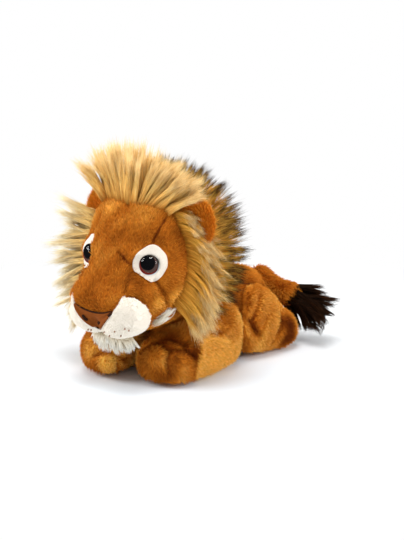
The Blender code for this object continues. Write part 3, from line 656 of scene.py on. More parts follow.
class Hide:
    """The surface of one stuffed piece, which creases and lumps shape before its pile is planted."""

    def __init__(self, name: str, nodes: Sequence[str], core: str, voxel: float, swell: float = SKIN_DEPTH):
        """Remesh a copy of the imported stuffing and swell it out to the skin.

        Args:
            name: The new piece's name.
            nodes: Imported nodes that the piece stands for.
            core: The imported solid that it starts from.
            voxel: Size of the remeshed faces.
            swell: How far the surface moves out along its normals.
        """
        self.name = name
        self.nodes = nodes
        self.folds: list[tuple[Array, float]] = []
        source = bpy.data.objects[core].copy()
        source.data = source.data.copy()
        source.parent = None
        source.hide_viewport = False
        bpy.context.scene.collection.objects.link(source)
        weld = source.modifiers.new("weld", "WELD")
        weld.merge_threshold = 0.02 * MM
        remesh = source.modifiers.new("even faces", "REMESH")
        remesh.mode = "VOXEL"
        remesh.voxel_size = voxel
        ease = source.modifiers.new("ease", "SMOOTH")
        ease.factor = 0.5
        ease.iterations = 4
        out = source.modifiers.new("swell", "DISPLACE")
        out.strength = swell
        out.mid_level = 0
        triangles = source.modifiers.new("triangles", "TRIANGULATE")
        triangles.quad_method = "SHORTEST_DIAGONAL"
        bpy.context.view_layer.update()
        graph = bpy.context.evaluated_depsgraph_get()
        self.mesh = bpy.data.meshes.new_from_object(source.evaluated_get(graph), depsgraph=graph)
        bpy.data.objects.remove(source)
        self.points = mesh_points(self.mesh)
        self.corners = np.empty(len(self.mesh.loops), np.int32)
        self.mesh.loops.foreach_get("vertex_index", self.corners)
        self.corners = self.corners.reshape(-1, 3)
        lift(self.points)
        self.refresh()

    def refresh(self) -> None:
        """Put the moved points in the mesh and work out normals and the search tree again."""
        self.mesh.vertices.foreach_set("co", self.points.astype(np.float32).ravel())
        self.mesh.update()
        cross = face_crosses(self.points, self.corners)
        self.areas = np.linalg.norm(cross, axis=1) / 2
        normals = np.zeros_like(self.points)
        for k in range(3):
            np.add.at(normals, self.corners[:, k], cross)
        self.normals = unit(normals)
        self.tree = BVHTree.FromPolygons(self.points.tolist(), self.corners.tolist())

    def hit(self, mark: Mark) -> Array | None:
        """The point that the photograph shows at a pixel, or the one nearest to a place, or None."""
        if len(mark) == 3:
            found = self.tree.find_nearest(Vector(mark) * MM)[0]
        else:
            found = self.tree.ray_cast(Vector(CAMERA.place), Vector(CAMERA.ray(mark)))[0]
        return None if found is None else np.array(found)

    def buried(self, points: Array, depth: float = 0.0) -> Array:
        """Which points lie deeper inside than a depth, seen along -Y and from the nearest face."""
        inside = np.zeros(len(points), bool)
        for i, point in enumerate(points):
            ahead, normal, _, _ = self.tree.ray_cast(Vector(point), Vector((0, -1, 0)))
            if ahead is not None and normal.y < 0:
                inside[i] = self.tree.find_nearest(Vector(point))[3] > depth
        return inside

    def shading(self, shades: Sequence[Shade], points: Array) -> Array:
        """Painted shade and highlight: the sum over all shades of value * exp(-(distance / radius)^2), less
        1.1 as painted shade in the folds.
        """
        total = -1.1 * self.folded(points)
        for shade in shades:
            centre = self.hit(shade.mark)
            if centre is None:
                LOG.warning("%s: no surface at %s", self.name, shade.mark)
                continue
            for hand in (1, -1) if shade.both_sides else (1,):
                apart = np.linalg.norm(points - centre * (hand, 1, 1), axis=1)
                total += shade.value * np.exp(-((apart / shade.radius) ** 2))
        return total

    def leave(self, start: Array, way: Array) -> tuple[Array, Array]:
        """Where a ray from inside leaves the surface, and the normal there."""
        point, normal, _, _ = self.tree.ray_cast(Vector(start), Vector(way))
        if point is None:
            return np.array(start), unit(np.array(way))
        return np.array(point), np.array(normal)

    def shape(self, features: Sequence[Crease | Lump], mirror: bool = False) -> None:
        """Move the surface by each crease and lump: d * exp(-(r / w)^2) along the normals.

        Args:
            features: What the photograph shows.
            mirror: Whether features marked for both sides are also made at -X.
        """
        for feature in features:
            marks = feature.marks if isinstance(feature, Crease) else (feature.mark,)
            line = [point for point in map(self.hit, marks) if point is not None]
            if not line:
                LOG.warning("%s: no surface at %s", self.name, marks)
                continue
            lines = [np.array(line)]
            if mirror and feature.both_sides:
                lines.append(np.array(line) * (-1, 1, 1))
            for points in lines:
                if isinstance(feature, Crease):
                    self.move(points, -feature.depth, feature.width)
                    if feature.depth > 0:
                        self.folds.append((points, feature.width))
                else:
                    self.move(points, feature.height, feature.radius)
        self.refresh()

    @staticmethod
    def apart(points: Array, line: Array) -> Array:
        """How far points lie from a line through some places."""
        near = np.linalg.norm(points - line[0], axis=1)
        for start, end in zip(line, line[1:]):
            along = end - start
            t = np.clip((points - start) @ along / max(along @ along, 1e-12), 0, 1)
            near = np.minimum(near, np.linalg.norm(points - start - t[:, None] * along, axis=1))
        return near

    def move(self, line: Array, height: float, width: float) -> None:
        """Move the surface near a line of points by height * exp(-(distance / width)^2)."""
        push = height * np.exp(-((self.apart(self.points, line) / width) ** 2))
        self.points += self.normals * push[:, None]
        lift(self.points)

    def press(self, centre: Array, axis: Array, level: float, reach: float, slope: float) -> None:
        """Press a seat into the surface: no point stands above level + slope * (distance - reach).

        Args:
            centre: The middle of the seat.
            axis: The way the seat looks.
            level: The seat's height along the axis.
            reach: The seat's radius.
            slope: How steeply its rim rises.
        """
        along = (self.points - centre) @ axis
        aside = np.linalg.norm(self.points - centre - along[:, None] * axis, axis=1)
        over = along - level - slope * np.maximum(aside - reach, 0)
        self.points -= np.maximum(over, 0)[:, None] * axis
        self.refresh()

    def folded(self, points: Array) -> Array:
        """How deep in a drawn-in fold points lie, from 0 to 1: the greatest exp(-(distance / width)^2)."""
        deep = np.zeros(len(points))
        for line, width in self.folds:
            deep = np.maximum(deep, np.exp(-((self.apart(points, line) / width) ** 2)))
        return deep

    def ripple(self, height: float, length: float, seed: int) -> None:
        """Uneven stuffing: the mean of five waves moves the surface in and out by up to a height."""
        total = waves(self.points, 5, length, (0.7, 1.4), seed)
        self.points += self.normals * (height * total / 5)[:, None]
        lift(self.points)
        self.refresh()

    def sample(
        self, count: int, seed: int, weight: Callable[[Array, Array], Array] | None = None
    ) -> tuple[Array, Array]:
        """Random points of the surface with their normals, evenly by area times a weight.

        Args:
            count: How many points.
            seed: Seed of the random numbers.
            weight: Function of points and normals that gives how densely they stand.

        Returns:
            Points and normals.
        """
        rng = np.random.default_rng(seed)
        share = self.areas.copy()
        if weight:
            share *= weight(self.points[self.corners].mean(1), self.normals[self.corners].mean(1))
        pick = rng.choice(len(share), count, p=share / share.sum())
        a, b = rng.random(count), rng.random(count)
        over = a + b > 1
        a[over], b[over] = 1 - a[over], 1 - b[over]
        mix = np.stack([1 - a - b, a, b], -1)[..., None]
        points = (self.points[self.corners[pick]] * mix).sum(1)
        return points, unit((self.normals[self.corners[pick]] * mix).sum(1))

    def place(
        self, finish: FurFinish, body: str, slot: str, zone: Callable[[Array, Array], Array] | None,
        fill: float = 0.7, depth: float = 0.25,
    ) -> None:
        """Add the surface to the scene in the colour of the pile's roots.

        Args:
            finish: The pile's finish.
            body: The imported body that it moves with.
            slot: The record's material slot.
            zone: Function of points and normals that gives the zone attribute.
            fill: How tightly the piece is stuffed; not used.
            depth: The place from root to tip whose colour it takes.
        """
        count = len(self.points)
        add_uv(self.mesh, "fur", np.stack([np.full(count, 0.5), np.full(count, depth)], -1))
        add_value(self.mesh, "zone", zone(self.points, self.normals) if zone else np.zeros(count))
        dress(link(self.name, self.mesh, finish.build()), body, slot, *self.nodes)


@dataclass
class Pile:
    """Short plush pile: closed four-sided spikes that lie over along the comb direction."""

    name: str
    finish: FurFinish
    length: float = 5.2 * MM
    width: float = 0.55 * MM
    rise: float = 0.50
    tousle: float = 0.15
    tuft: float = 4.0
    gather: float = 0.35
    seed: int = 1

    def plant(
        self, points: Array, normals: Array, comb: Array, body: str, slot: str, zone: Array | None = None,
        lengths: Array | float = 1.0,
    ) -> None:
        """Build one spike at each point: three base corners round the root and a tip.

        tip = root + length * unit(comb + rise * normal + noise). Spikes stand in small tufts: those of a
        tuft share a part of the noise and a shade, and their tips draw together.

        Args:
            points: Roots.
            normals: Outward directions at the roots.
            comb: The way the pile lies at each root.
            body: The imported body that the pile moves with.
            slot: The record's material slot.
            zone: The zone attribute at each root.
            lengths: A factor on the length at each root.
        """
        rng = np.random.default_rng(self.seed)
        count = len(points)
        tufts = max(int(count / self.tuft), 1)
        heads = rng.choice(count, tufts, replace=False)
        own = nearest(points, points[heads])
        shared = rng.normal(size=(tufts, 3))[own]
        comb = tangential(comb, normals)
        stray = shared * 1.2 + rng.normal(size=(count, 3)) * 0.7
        lie = unit(comb + normals * self.rise + stray * self.tousle)
        under = (lie * normals).sum(-1, keepdims=True)
        lie = unit(lie + normals * np.maximum(0.18 - under, 0))
        reach = self.length * rng.uniform(0.7, 1.15, count) * lengths
        tips = points + lie * reach[:, None]
        tips += (tips[heads][own] - tips) * self.gather
        lift(tips)
        lie = unit(tips - points)
        across = unit(np.cross(normals, lie))
        width = self.width * rng.uniform(0.7, 1.3, count)[:, None]
        sunk = points - normals * self.width
        base = [
            sunk + across * width / 2,
            sunk - across * width / 2,
            sunk - comb * width * 0.8 + normals * width * 0.5,
        ]
        vertices = np.stack([*base, tips], 1).reshape(-1, 3)
        lift(vertices, FLOOR_LIFT / 2)
        pattern = np.array([(0, 1, 2), (1, 0, 3), (2, 1, 3), (0, 2, 3)])
        triangles = (np.arange(count)[:, None, None] * 4 + pattern[None]).reshape(-1, 3)
        mesh = triangle_mesh(self.name, vertices, triangles)
        tone = np.clip(rng.normal(0.5, 0.25, tufts)[own] + rng.normal(0, 0.12, count), 0, 1)
        along = np.tile([0.2, 0.2, 0.2, 1.0], count)
        add_uv(mesh, "fur", np.stack([np.repeat(tone, 4), along], -1))
        add_value(mesh, "zone", np.repeat(np.zeros(count) if zone is None else zone, 4))
        dress(link(self.name, mesh, self.finish.build(), smooth=False), body, slot)


@dataclass
class Locks:
    """Long fur in locks: curved three-sided strands that draw together towards each lock's tip."""

    name: str
    finish: FurFinish
    strands: int
    lock_count: int
    length: float
    width: float = 0.5 * MM
    steps: int = 4
    gather: float = 0.85
    wander: float = 0.11
    stray: float = 0.045
    seed: int = 1
    room: tuple[Array, Array] | None = None

    def grow(
        self, roots: Array, first: Array, last: Array, lengths: Array, zone: Array | None = None,
    ) -> bpy.types.Object:
        """Build the strands.

        A lock's middle line is root + L * (first * (t - t^2 / 2) + last * t^2 / 2), a path whose
        direction turns steadily from first to last. A strand keeps its place beside it, drawn in by
        1 - gather * t^1.5, and strays a little of its own.

        Args:
            roots: A root for each strand.
            first: The direction at each root.
            last: The direction at each tip.
            lengths: A factor on the length at each root.
            zone: The zone attribute at each root.

        Returns:
            The new object, which still has to ride on a body.
        """
        rng = np.random.default_rng(self.seed)
        count = len(roots)
        heads = rng.choice(count, self.lock_count, replace=False)
        own = nearest(roots, roots[heads])
        lead = heads[own]
        sway = rng.normal(size=(self.lock_count, 3))[own] * self.wander
        lock_length = rng.uniform(0.84, 1.08, self.lock_count)[own]
        begin = unit(first[lead] + sway * 0.6)
        finish = unit(last[lead] + sway * 1.6)
        t = np.linspace(0, 1, self.steps + 1)
        reach = self.length * lengths[lead] * lock_length * rng.uniform(0.78, 1.04, count)
        line = begin[:, None] * (t - t * t / 2)[None, :, None] + finish[:, None] * (t * t / 2)[None, :, None]
        beside = (roots - roots[lead])[:, None] * (1 - self.gather * t ** 1.5)[None, :, None]
        stray = rng.normal(size=(count, 3))[:, None] * (self.stray * t * t)[None, :, None]
        path = roots[lead][:, None] + beside + (line + stray) * reach[:, None, None]
        path = self.kept(path)
        lift(path, FLOOR_LIFT + self.width)
        return self.skin(path, rng, zone)

    def kept(self, path: Array) -> Array:
        """Paths shortened so that no tip leaves the room: root + f * (path - root), f <= 1."""
        if self.room is None:
            return path
        root, way = path[:, :1], path[:, -1] - path[:, 0]
        share = np.ones(len(path))
        for limit, sign in zip(self.room, (-1, 1)):
            free = (limit - path[:, 0]) * sign
            need = np.maximum(way * sign, 1e-9)
            share = np.minimum(share, np.min(np.maximum(free, 0) / need, axis=1))
        return root + (path - root) * np.clip(share, 0.1, 1)[:, None, None]

    def skin(self, path: Array, rng: np.random.Generator, zone: Array | None) -> bpy.types.Object:
        """Put a three-sided tapering tube round each path, closed at both ends."""
        count, rings = path.shape[0], path.shape[1] - 1
        t = np.linspace(0, 1, rings + 1)
        way = unit(np.gradient(path, axis=1))
        helper = unit(rng.normal(size=(count, 1, 3)) + way[:, :1] * 0.01)
        a = unit(np.cross(way, helper))
        b = np.cross(way, a)
        radius = self.width / 2 * (1 - 0.75 * t[:-1] ** 1.5) * 1.15
        radius = radius[None, :, None] * rng.uniform(0.7, 1.3, count)[:, None, None]
        corners = [
            path[:, :-1] + radius * (math.cos(turn) * a[:, :-1] + math.sin(turn) * b[:, :-1])
            for turn in (0, 2 * math.pi / 3, 4 * math.pi / 3)
        ]
        tube = np.stack(corners, 2).reshape(count, rings * 3, 3)
        vertices = np.concatenate([tube, path[:, -1:]], 1)
        lift(vertices, FLOOR_LIFT / 2)
        side = grid_triangles(rings, 3, True)
        end = (rings - 1) * 3
        tip = np.array([(end, end + 1, rings * 3), (end + 1, end + 2, rings * 3), (end + 2, end, rings * 3)])
        pattern = np.concatenate([side, tip, [(0, 2, 1)]])
        per = rings * 3 + 1
        triangles = (np.arange(count)[:, None, None] * per + pattern[None]).reshape(-1, 3)
        mesh = triangle_mesh(self.name, vertices.reshape(-1, 3), triangles)
        along = np.concatenate([np.repeat(t[:-1], 3), [1.0]])
        tone = np.clip(rng.normal(0.5, 0.24, count), 0, 1)
        add_uv(mesh, "fur", np.stack([np.repeat(tone, per), np.tile(along, count)], -1))
        add_value(mesh, "zone", np.repeat(np.zeros(count) if zone is None else zone, per))
        obj = link(self.name, mesh, self.finish.build())
        return obj


def thread(name: str, path: Array, radius: float, sides: int = 8) -> bpy.types.Object:
    """A closed tube of thread along a path, with round ends: its radius is r * sqrt(1 - s^8).

    Args:
        name: The object's name.
        path: Points that the thread runs through.
        radius: Half its thickness.
        sides: Corners of its section.

    Returns:
        The new object.
    """
    length = np.concatenate([[0], np.cumsum(np.linalg.norm(np.diff(path, axis=0), axis=1))])
    steps = np.linspace(0, length[-1], max(12, int(length[-1] / (1.2 * MM))))
    line = np.stack([np.interp(steps, length, path[:, k]) for k in range(3)], -1)
    way = unit(np.gradient(line, axis=0))
    a = unit(np.cross(way, (0.31, 0.2, 0.93)))
    b = np.cross(way, a)
    s = np.linspace(-1, 1, len(line))
    size = radius * np.sqrt(np.maximum(1 - np.abs(s) ** 8, 0.04))
    angle = np.arange(sides) * 2 * math.pi / sides
    ring = np.cos(angle)[None, :, None] * a[:, None] + np.sin(angle)[None, :, None] * b[:, None]
    points = (line[:, None] + ring * size[:, None, None]).reshape(-1, 3)
    points = np.concatenate([points, line[:1], line[-1:]])
    return link(name, triangle_mesh(name, points, capped_triangles(len(line), sides)), EMBROIDERY.build())


class Pieces:
    """What the sub-assemblies share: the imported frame."""

    def __init__(self, frame: dict, box: tuple[Vector, Vector]):
        """Keep the frame and the room for fur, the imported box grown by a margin."""
        self.frame = frame
        self.room = (np.array(box[0]) - FUR_MARGIN, np.array(box[1]) + FUR_MARGIN)

    def mesh(self, node: str) -> bpy.types.Mesh:
        """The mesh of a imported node."""
        return self.frame["nodes"][node].data

    def points(self, *nodes: str) -> Array:
        """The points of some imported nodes."""
        return np.concatenate([mesh_points(self.mesh(node)) for node in nodes])

    def middle(self, *nodes: str) -> Array:
        """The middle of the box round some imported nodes."""
        points = self.points(*nodes)
        return (points.min(0) + points.max(0)) / 2


@dataclass
class Torso:
    """The body and the ball of the neck seam."""

    spikes: int = 42000
    chest: tuple[float, float] = (-60 * MM, 0.0)
    features: tuple[Crease | Lump, ...] = (
        Crease(((252, 268), (249, 285), (250, 305)), 3.0 * MM, 4 * MM),
        Crease(((262, 272), (261, 285), (263, 298)), 2.4 * MM, 3 * MM),
        Lump((10, 50, 88), 20 * MM, 4.0 * MM),
        Lump((-6, 87, 80), 15 * MM, 8.0 * MM),
    )
    # Painted shade in the flank's folds and in other patches.
    shades: tuple[Shade, ...] = (
        Shade((252, 290), 6 * MM, -0.8),
        Shade((263, 288), 4 * MM, -0.5),
        Shade((240, 330), 10 * MM, -0.8),
        Shade((232, 300), 14 * MM, -0.5),
    )
    hide: Hide = field(init=False)

    def comb(self, points: Array) -> Array:
        """The pile runs back along the body and down its flanks: (4 x, 1, -0.45)."""
        return np.stack([points[:, 0] * 4, np.full(len(points), 1.0), np.full(len(points), -0.45)], -1)

    def zone(self, points: Array, normals: Array) -> Array:
        """Painted shade below and in the folds, with soft patches."""
        # under: painted shade on the faces that look down.
        under = smooth_step(-normals[:, 2], -0.1, 0.8)
        return 0.25 * mottle(points, 24 * MM, 14) - 0.7 * under + self.hide.shading(self.shades, points)

    def cover(self, points: Array, normals: Array) -> Array:
        """How densely the pile stands: thin on the chest, which the head hides, and on the belly."""
        return 0.15 + smooth_step(points[:, 1], *self.chest) * (normals[:, 2] > -0.6)

    def build(self) -> None:
        """Make the hide, its pile and the neck."""
        hide = self.hide = Hide("torso_plush", ("torso_skin", "torso_stuffing"), "torso_stuffing", 3.0 * MM)
        hide.shape(self.features)
        hide.ripple(0.9 * MM, 38 * MM, 11)
        hide.place(GOLDEN, "torso", "golden_plush", self.zone, fill=0.6)
        points, normals = hide.sample(self.spikes, 12, self.cover)
        Pile("torso_pile", GOLDEN, seed=13).plant(
            points, normals, self.comb(points), "torso", "golden_plush", self.zone(points, normals)
        )
        neck = Hide("neck_plush", ("neck_stuffing",), "neck_stuffing", 4.0 * MM, swell=0)
        neck.place(GOLDEN, "neck", "golden_plush", None, fill=0.9)


@dataclass
class Eye:
    """A safety eye with its felt patch. Sewing draws it in and turns it from where it is packed."""

    pieces: Pieces
    side: Side
    packed_turn: float = math.radians(30)
    shown_turn: float = math.radians(21)
    up_turn: float = math.radians(5)
    draw: Way = (-4.6 * MM, 2.2 * MM, 0.2 * MM)
    seat_radius: float = 10.5 * MM
    seat_drop: float = 2.2 * MM
    lip: float = 0.6 * MM
    disc_thickness: float = 1.6 * MM
    shank: float = 2.4 * MM
    felt_rise: float = 1.9 * MM
    felt_thickness: float = 2.2 * MM
    felt_wave: float = 0.15 * MM
    pile_gap: float = 0.9 * MM
    outline: tuple[tuple[float, float], ...] = (
        (-155, 15.1), (-140, 13.3), (-130, 12.8), (-110, 12.8), (-90, 14.0), (-76, 16.0), (-60, 16.6),
        (-28, 16.0), (0, 17.6), (15, 18.2), (37, 18.3), (58, 18.4), (83, 20.0), (109, 17.2), (132, 15.8),
        (158, 15.2), (180, 15.4),
    )

    @property
    def packed(self) -> Array:
        """The middle of the washer as it is packed."""
        return self.pieces.middle("eye_washer_" + self.side.word)

    @property
    def centre(self) -> Array:
        """The middle of the washer as it is shown."""
        return self.packed + np.array(self.draw) * (self.side.value, 1, 1)

    def axis(self, packed: bool = False) -> Array:
        """The way the eye looks, as it is shown or as it is packed."""
        turn = self.packed_turn if packed else self.shown_turn
        flat = math.cos(self.up_turn)
        aside, ahead = self.side.value * math.sin(turn) * flat, math.cos(turn) * flat
        return np.array((aside, -ahead, math.sin(self.up_turn)))

    def heights(self, node: str) -> Array:
        """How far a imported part's points lie from the washer's middle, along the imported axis."""
        return (self.pieces.points(node + self.side.word) - self.packed) @ self.axis(packed=True)

    def edge(self, angle: Array) -> Array:
        """The felt's radius at angles in degrees from the lion's outer side, read off its outline."""
        marks = np.array(self.outline)
        return np.interp(angle, marks[:, 0], marks[:, 1], period=360) * MM

    def seat(self, hide: Hide) -> None:
        """Press the eye's seat into the head."""
        level = self.heights("eye_dome_").min() - self.seat_drop
        hide.press(self.centre, self.axis(), level, self.seat_radius, 1.0)

    def bare(self, points: Array) -> Array:
        """The share of pile that stands at points: none under the felt, all of it past its edge."""
        apart = (points - self.centre) @ np.array(facing((0, 0, 0), self.axis()))[:3, :3]
        reach = np.linalg.norm(apart[:, :2], axis=1)
        angle = np.degrees(np.arctan2(apart[:, 1], apart[:, 0] * self.side.value))
        near = apart[:, 2] > -30 * MM
        return 1 - near * smooth_step(self.edge(angle) - reach, -self.pile_gap, 0.0)

    def build(self, hide: Hide) -> None:
        """Make the dome, the disc with its shank, the washer and the felt patch."""
        dome = self.heights("eye_dome_")
        apart = self.pieces.points("eye_dome_" + self.side.word) - self.packed
        radius = np.linalg.norm(apart - np.outer(dome, self.axis(packed=True)), axis=1).max()
        place = facing(self.centre, self.axis())
        self.dome(place, radius, dome.min(), dome.max())
        self.disc(place, radius, dome.min())
        node = "eye_washer_" + self.side.word
        washer = self.pieces.mesh(node).copy()
        moved = self.pieces.points(node) + self.centre - self.packed
        washer.vertices.foreach_set("co", moved.astype(np.float32).ravel())
        obj = link("washer_" + self.side.word, washer, WASHER_PLASTIC.build())
        dress(obj, "head", "washer_plastic", node)
        self.patch(hide, place, radius, dome.min())

    def dome(self, place: Matrix, radius: float, low: float, high: float) -> None:
        """The clear dome: a short rim and then (r cos^0.9 a, h sin a) up to its pole.

        Args:
            place: Where the eye stands.
            radius: The dome's radius.
            low: The height of its foot along the eye's axis.
            high: The height of its top.
        """
        bend = np.linspace(0, math.pi / 2, 14)[1:-1]
        foot = low + self.lip
        cap = np.stack([radius * np.cos(bend) ** 0.9, foot + (high - foot) * np.sin(bend)], -1)
        profile = np.concatenate([[(radius * 0.98, low), (radius, low + self.lip / 2)], cap])
        points, triangles, _ = turned(profile, 64, place)
        axis = self.axis()
        points[-1] += axis * (high - (points[-1] - self.centre) @ axis)
        mesh = triangle_mesh("eye_dome_clear_" + self.side.word, points, triangles)
        obj = link(mesh.name, mesh, ClearFinish().build())
        dress(obj, "head", "eye_clear", "eye_dome_" + self.side.word)

    def disc(self, place: Matrix, radius: float, foot: float) -> None:
        """The painted disc under the dome's foot, with the shank behind it."""
        heights = self.heights("eye_back_")
        low, paint = heights.max() - self.disc_thickness, foot + 0.1 * MM
        profile = np.array([
            (self.shank * 0.6, heights.min()), (self.shank, heights.min() + self.shank / 2),
            (self.shank, low),
            (radius * 0.975, low), (radius * 0.975, paint), (radius * 0.6, paint),
        ])
        points, triangles, flat = turned(profile, 64, place)
        mesh = triangle_mesh("eye_disc_" + self.side.word, points, triangles)
        add_uv(mesh, "disc", flat)
        obj = link(mesh.name, mesh, EyeFinish().build(), smooth=False)
        dress(obj, "head", "eye_paint", "eye_back_" + self.side.word)

    def patch(self, hide: Hide, place: Matrix, radius: float, foot: float) -> None:
        """Felt with an uneven edge, laid on the hide: rings about the eye, dropped along its axis.

        The sheet passes under the rim of the dome.

        Args:
            hide: The head's surface.
            place: Where the eye stands.
            radius: The dome's radius.
            foot: The height of the dome's foot along the eye's axis.
        """
        rings, around, away = 9, 96, 60 * MM
        angle = np.arange(around) * 2 * math.pi / around
        ring = np.stack([np.cos(angle) * self.side.value, np.sin(angle)], -1)
        edge = self.edge(np.degrees(angle)) + self.felt_wave * np.cos(11 * angle)
        edge = (np.roll(edge, 1) + 2 * edge + np.roll(edge, -1)) / 4
        share = np.linspace(0, 1, rings)[:, None, None]
        inner = ring * radius * 0.96
        flat = inner + (ring * edge[:, None] - inner) * share
        matrix = np.array(place)
        axis = matrix[:3, 2]
        starts = (flat @ matrix[:3, :2].T + matrix[:3, 3] + axis * away).reshape(-1, 3)
        heights = fall(starts, -axis, [hide.tree])
        heights[np.isinf(heights)] = heights[np.isfinite(heights)].max()
        under_dome = np.repeat(away - foot - share[:, 0, 0] * 8 * MM, around)
        heights = np.maximum(heights - self.felt_rise, under_dome)
        top = starts - axis * heights[:, None]
        low = starts - axis * (heights + self.felt_thickness)[:, None]
        sheet = np.concatenate([low.reshape(rings, around, 3), top.reshape(rings, around, 3)[::-1]])
        triangles = grid_triangles(2 * rings + 1, around, True) % (sheet.size // 3)
        triangles = triangles[:, ::self.side.value]
        mesh = triangle_mesh("eye_felt_" + self.side.word, sheet.reshape(-1, 3), triangles)
        dress(link(mesh.name, mesh, EYE_FELT.build()), "head", "eye_felt", "eye_patch_" + self.side.word)


@dataclass
class Ear:
    """A cupped ear: an oval sheet bent back in the middle, with pile behind, in front and on its rim."""

    pieces: Pieces
    side: Side
    shorter: float = 1.5 * MM
    lower: float = 0.0
    front_zone: float = -0.2
    wider: float = 2 * MM
    out_turn: float = math.radians(8)
    thickness: float = 4.0 * MM
    cup: float = 5.0 * MM
    rows: int = 20
    columns: int = 40
    spikes: int = 5200

    def build(self) -> None:
        """Make the sheet and its pile.

        x = a cos v cos u, y = b sin v, z = c cos v sin u - cup * (1 - x^2 / a^2 - 0.8 y^2 / b^2).
        """
        word = self.side.word
        nodes = ("ear_back_" + word, "ear_lining_" + word)
        packed = self.pieces.points(*nodes)
        centre = self.pieces.middle(*nodes) - (0, 0, self.lower)
        way = np.array((self.side.value * math.sin(self.out_turn), -math.cos(self.out_turn), 0.0))
        across = np.array((self.side.value * -way[1], self.side.value * way[0], 0.0))
        up = np.array((0, 0, 1.0))
        wide = np.ptp(packed @ across) / 2 + self.wider
        high = np.ptp(packed[:, 2]) / 2 - self.shorter
        v = np.linspace(-math.pi / 2, math.pi / 2, self.rows + 2)[1:-1, None]
        u = np.arange(self.columns)[None] * 2 * math.pi / self.columns
        x, y = np.cos(v) * np.cos(u), np.sin(v) * np.ones_like(u)
        z = self.thickness * np.cos(v) * np.sin(u) - self.cup * (1 - x * x - y * y * 0.8)
        grid = centre + x[..., None] * wide * across + z[..., None] * way + (y * high)[..., None] * up
        poles = centre + np.array([(0, 0, -high), (0, 0, high)]) - way * self.cup * 0.2
        points = np.concatenate([grid.reshape(-1, 3), poles])
        triangles = outward(points, capped_triangles(self.rows, self.columns))
        mesh = triangle_mesh("ear_plush_" + word, points, triangles)
        add_uv(mesh, "fur", np.full((len(points), 2), 0.4))
        add_value(mesh, "zone", np.full(len(points), -0.2))
        dress(link(mesh.name, mesh, EAR.build()), "head", "ear_plush", *nodes)

        rng = np.random.default_rng(41)
        cross = face_crosses(points, triangles)
        area = np.linalg.norm(cross, axis=1)
        pick = rng.choice(len(area), self.spikes, p=area / area.sum())
        mix = rng.dirichlet((1, 1, 1), self.spikes)[..., None]
        roots = (points[triangles][pick] * mix).sum(1)
        normals = unit(cross[pick])
        # The ear's front is darker or lighter as front_zone gives, its back lighter, and lighter still
        # towards the top, through the shade and glow tints.
        zone = np.where(normals @ way > 0.3, self.front_zone, 0.35)
        zone = zone + 0.4 * smooth_step(roots[:, 2] - centre[2], 0.2 * high, high)
        Pile("ear_pile_" + word, EAR, length=5.0 * MM, width=0.5 * MM, seed=42).plant(
            roots, normals, roots - centre + 0.6 * high * up, "head", "ear_plush", zone
        )


@dataclass
class MuzzlePad:
    """A white pad with short pile and whisker dots, sunk where the snout and the nose lie on it.

    Its inner edge, seen from the front, runs through the rim marks from the mouth to the top.
    """

    side: Side
    whiskers: tuple[Mark, ...]
    wider: float
    set_back: float = 0.0
    rim: tuple[tuple[float, float], ...] = (
        (-8, 60), (-4, 67), (0, 70), (21.5, 84), (26.5, 89), (31, 95), (32, 101), (33.5, 112),
    )
    sink: float = 11 * MM
    flatten: float = 4.5 * MM
    chin_height: float = 70 * MM
    chin_lift: float = 0.36
    top_lean: float = 1.0 * MM
    top_ahead: float = 2.5 * MM
    spikes: int = 11000

    def shape(self, points: Array) -> None:
        """Move the pad's points: sunk behind the rim, flat in front, lifted at the chin, fuller aside."""
        rim = np.array(self.rim) * MM
        hand = self.side.value
        inner = np.interp(points[:, 2], rim[:, 1], rim[:, 0])
        points[:, 1] += self.sink * smooth_step(inner - np.abs(points[:, 0]), -1.5 * MM, 3.5 * MM)
        points[:, 1] += self.flatten * smooth_step(-points[:, 1], 0.152, 0.176)
        points[:, 2] += np.maximum(self.chin_height - points[:, 2], 0) * self.chin_lift
        points[:, 0] -= hand * self.top_lean * smooth_step(points[:, 2], 90 * MM, 103 * MM)
        aside = smooth_step(np.abs(points[:, 0]), 28 * MM, 44 * MM)
        points[:, 0] += hand * self.wider * aside
        points[:, 1] += self.set_back * aside * smooth_step(points[:, 2], 78 * MM, 89 * MM)
        points[:, 1] -= self.top_ahead * smooth_step(points[:, 2], 84 * MM, 96 * MM)

    def build(self, head: Hide, nose: Nose) -> Hide:
        """Make the pad, its pile and its whisker dots.

        Args:
            head: The head's surface.
            nose: The nose, under which no pile stands.

        Returns:
            The pad's surface.
        """
        word = self.side.word
        node = "muzzle_pad_" + word
        hide = Hide("muzzle_plush_" + word, (node,), node, 1.7 * MM, swell=-0.4 * MM)
        self.shape(hide.points)
        hide.refresh()
        hide.place(WHITE, "head", "white_plush", None, fill=0.9)
        points, normals = hide.sample(self.spikes, 51, lambda p, n: 0.05 + (n[:, 1] < 0.4))
        keep = ~head.buried(points, 0.3 * MM) & ~nose.covers(points)
        points, normals = points[keep], normals[keep]
        comb = np.stack([
            np.full(len(points), self.side.value * 0.8), np.full(len(points), 0.5), points[:, 2] * 12 - 0.9,
        ], -1)
        Pile("muzzle_pile_" + word, WHITE, length=1.9 * MM, width=0.45 * MM, tuft=2, seed=52).plant(
            points, normals, comb, "head", "white_plush"
        )
        profile = np.array([(0.65 * MM, 0.4 * MM), (0.8 * MM, 1.6 * MM), (0.5 * MM, 2.0 * MM)])
        rings, triangles = [], []
        for spot in (dot for dot in map(hide.hit, self.whiskers) if dot is not None):
            normal = hide.normals[np.linalg.norm(hide.points - spot, axis=1).argmin()]
            ring, faces, _ = turned(profile, 10, facing(spot, normal))
            triangles.append(faces + len(rings) * len(ring))
            rings.append(ring)
        mesh = triangle_mesh("whisker_dots_" + word, np.concatenate(rings), np.concatenate(triangles))
        dress(link(mesh.name, mesh, DOT_THREAD.build()), "head", "white_plush")
        return hide


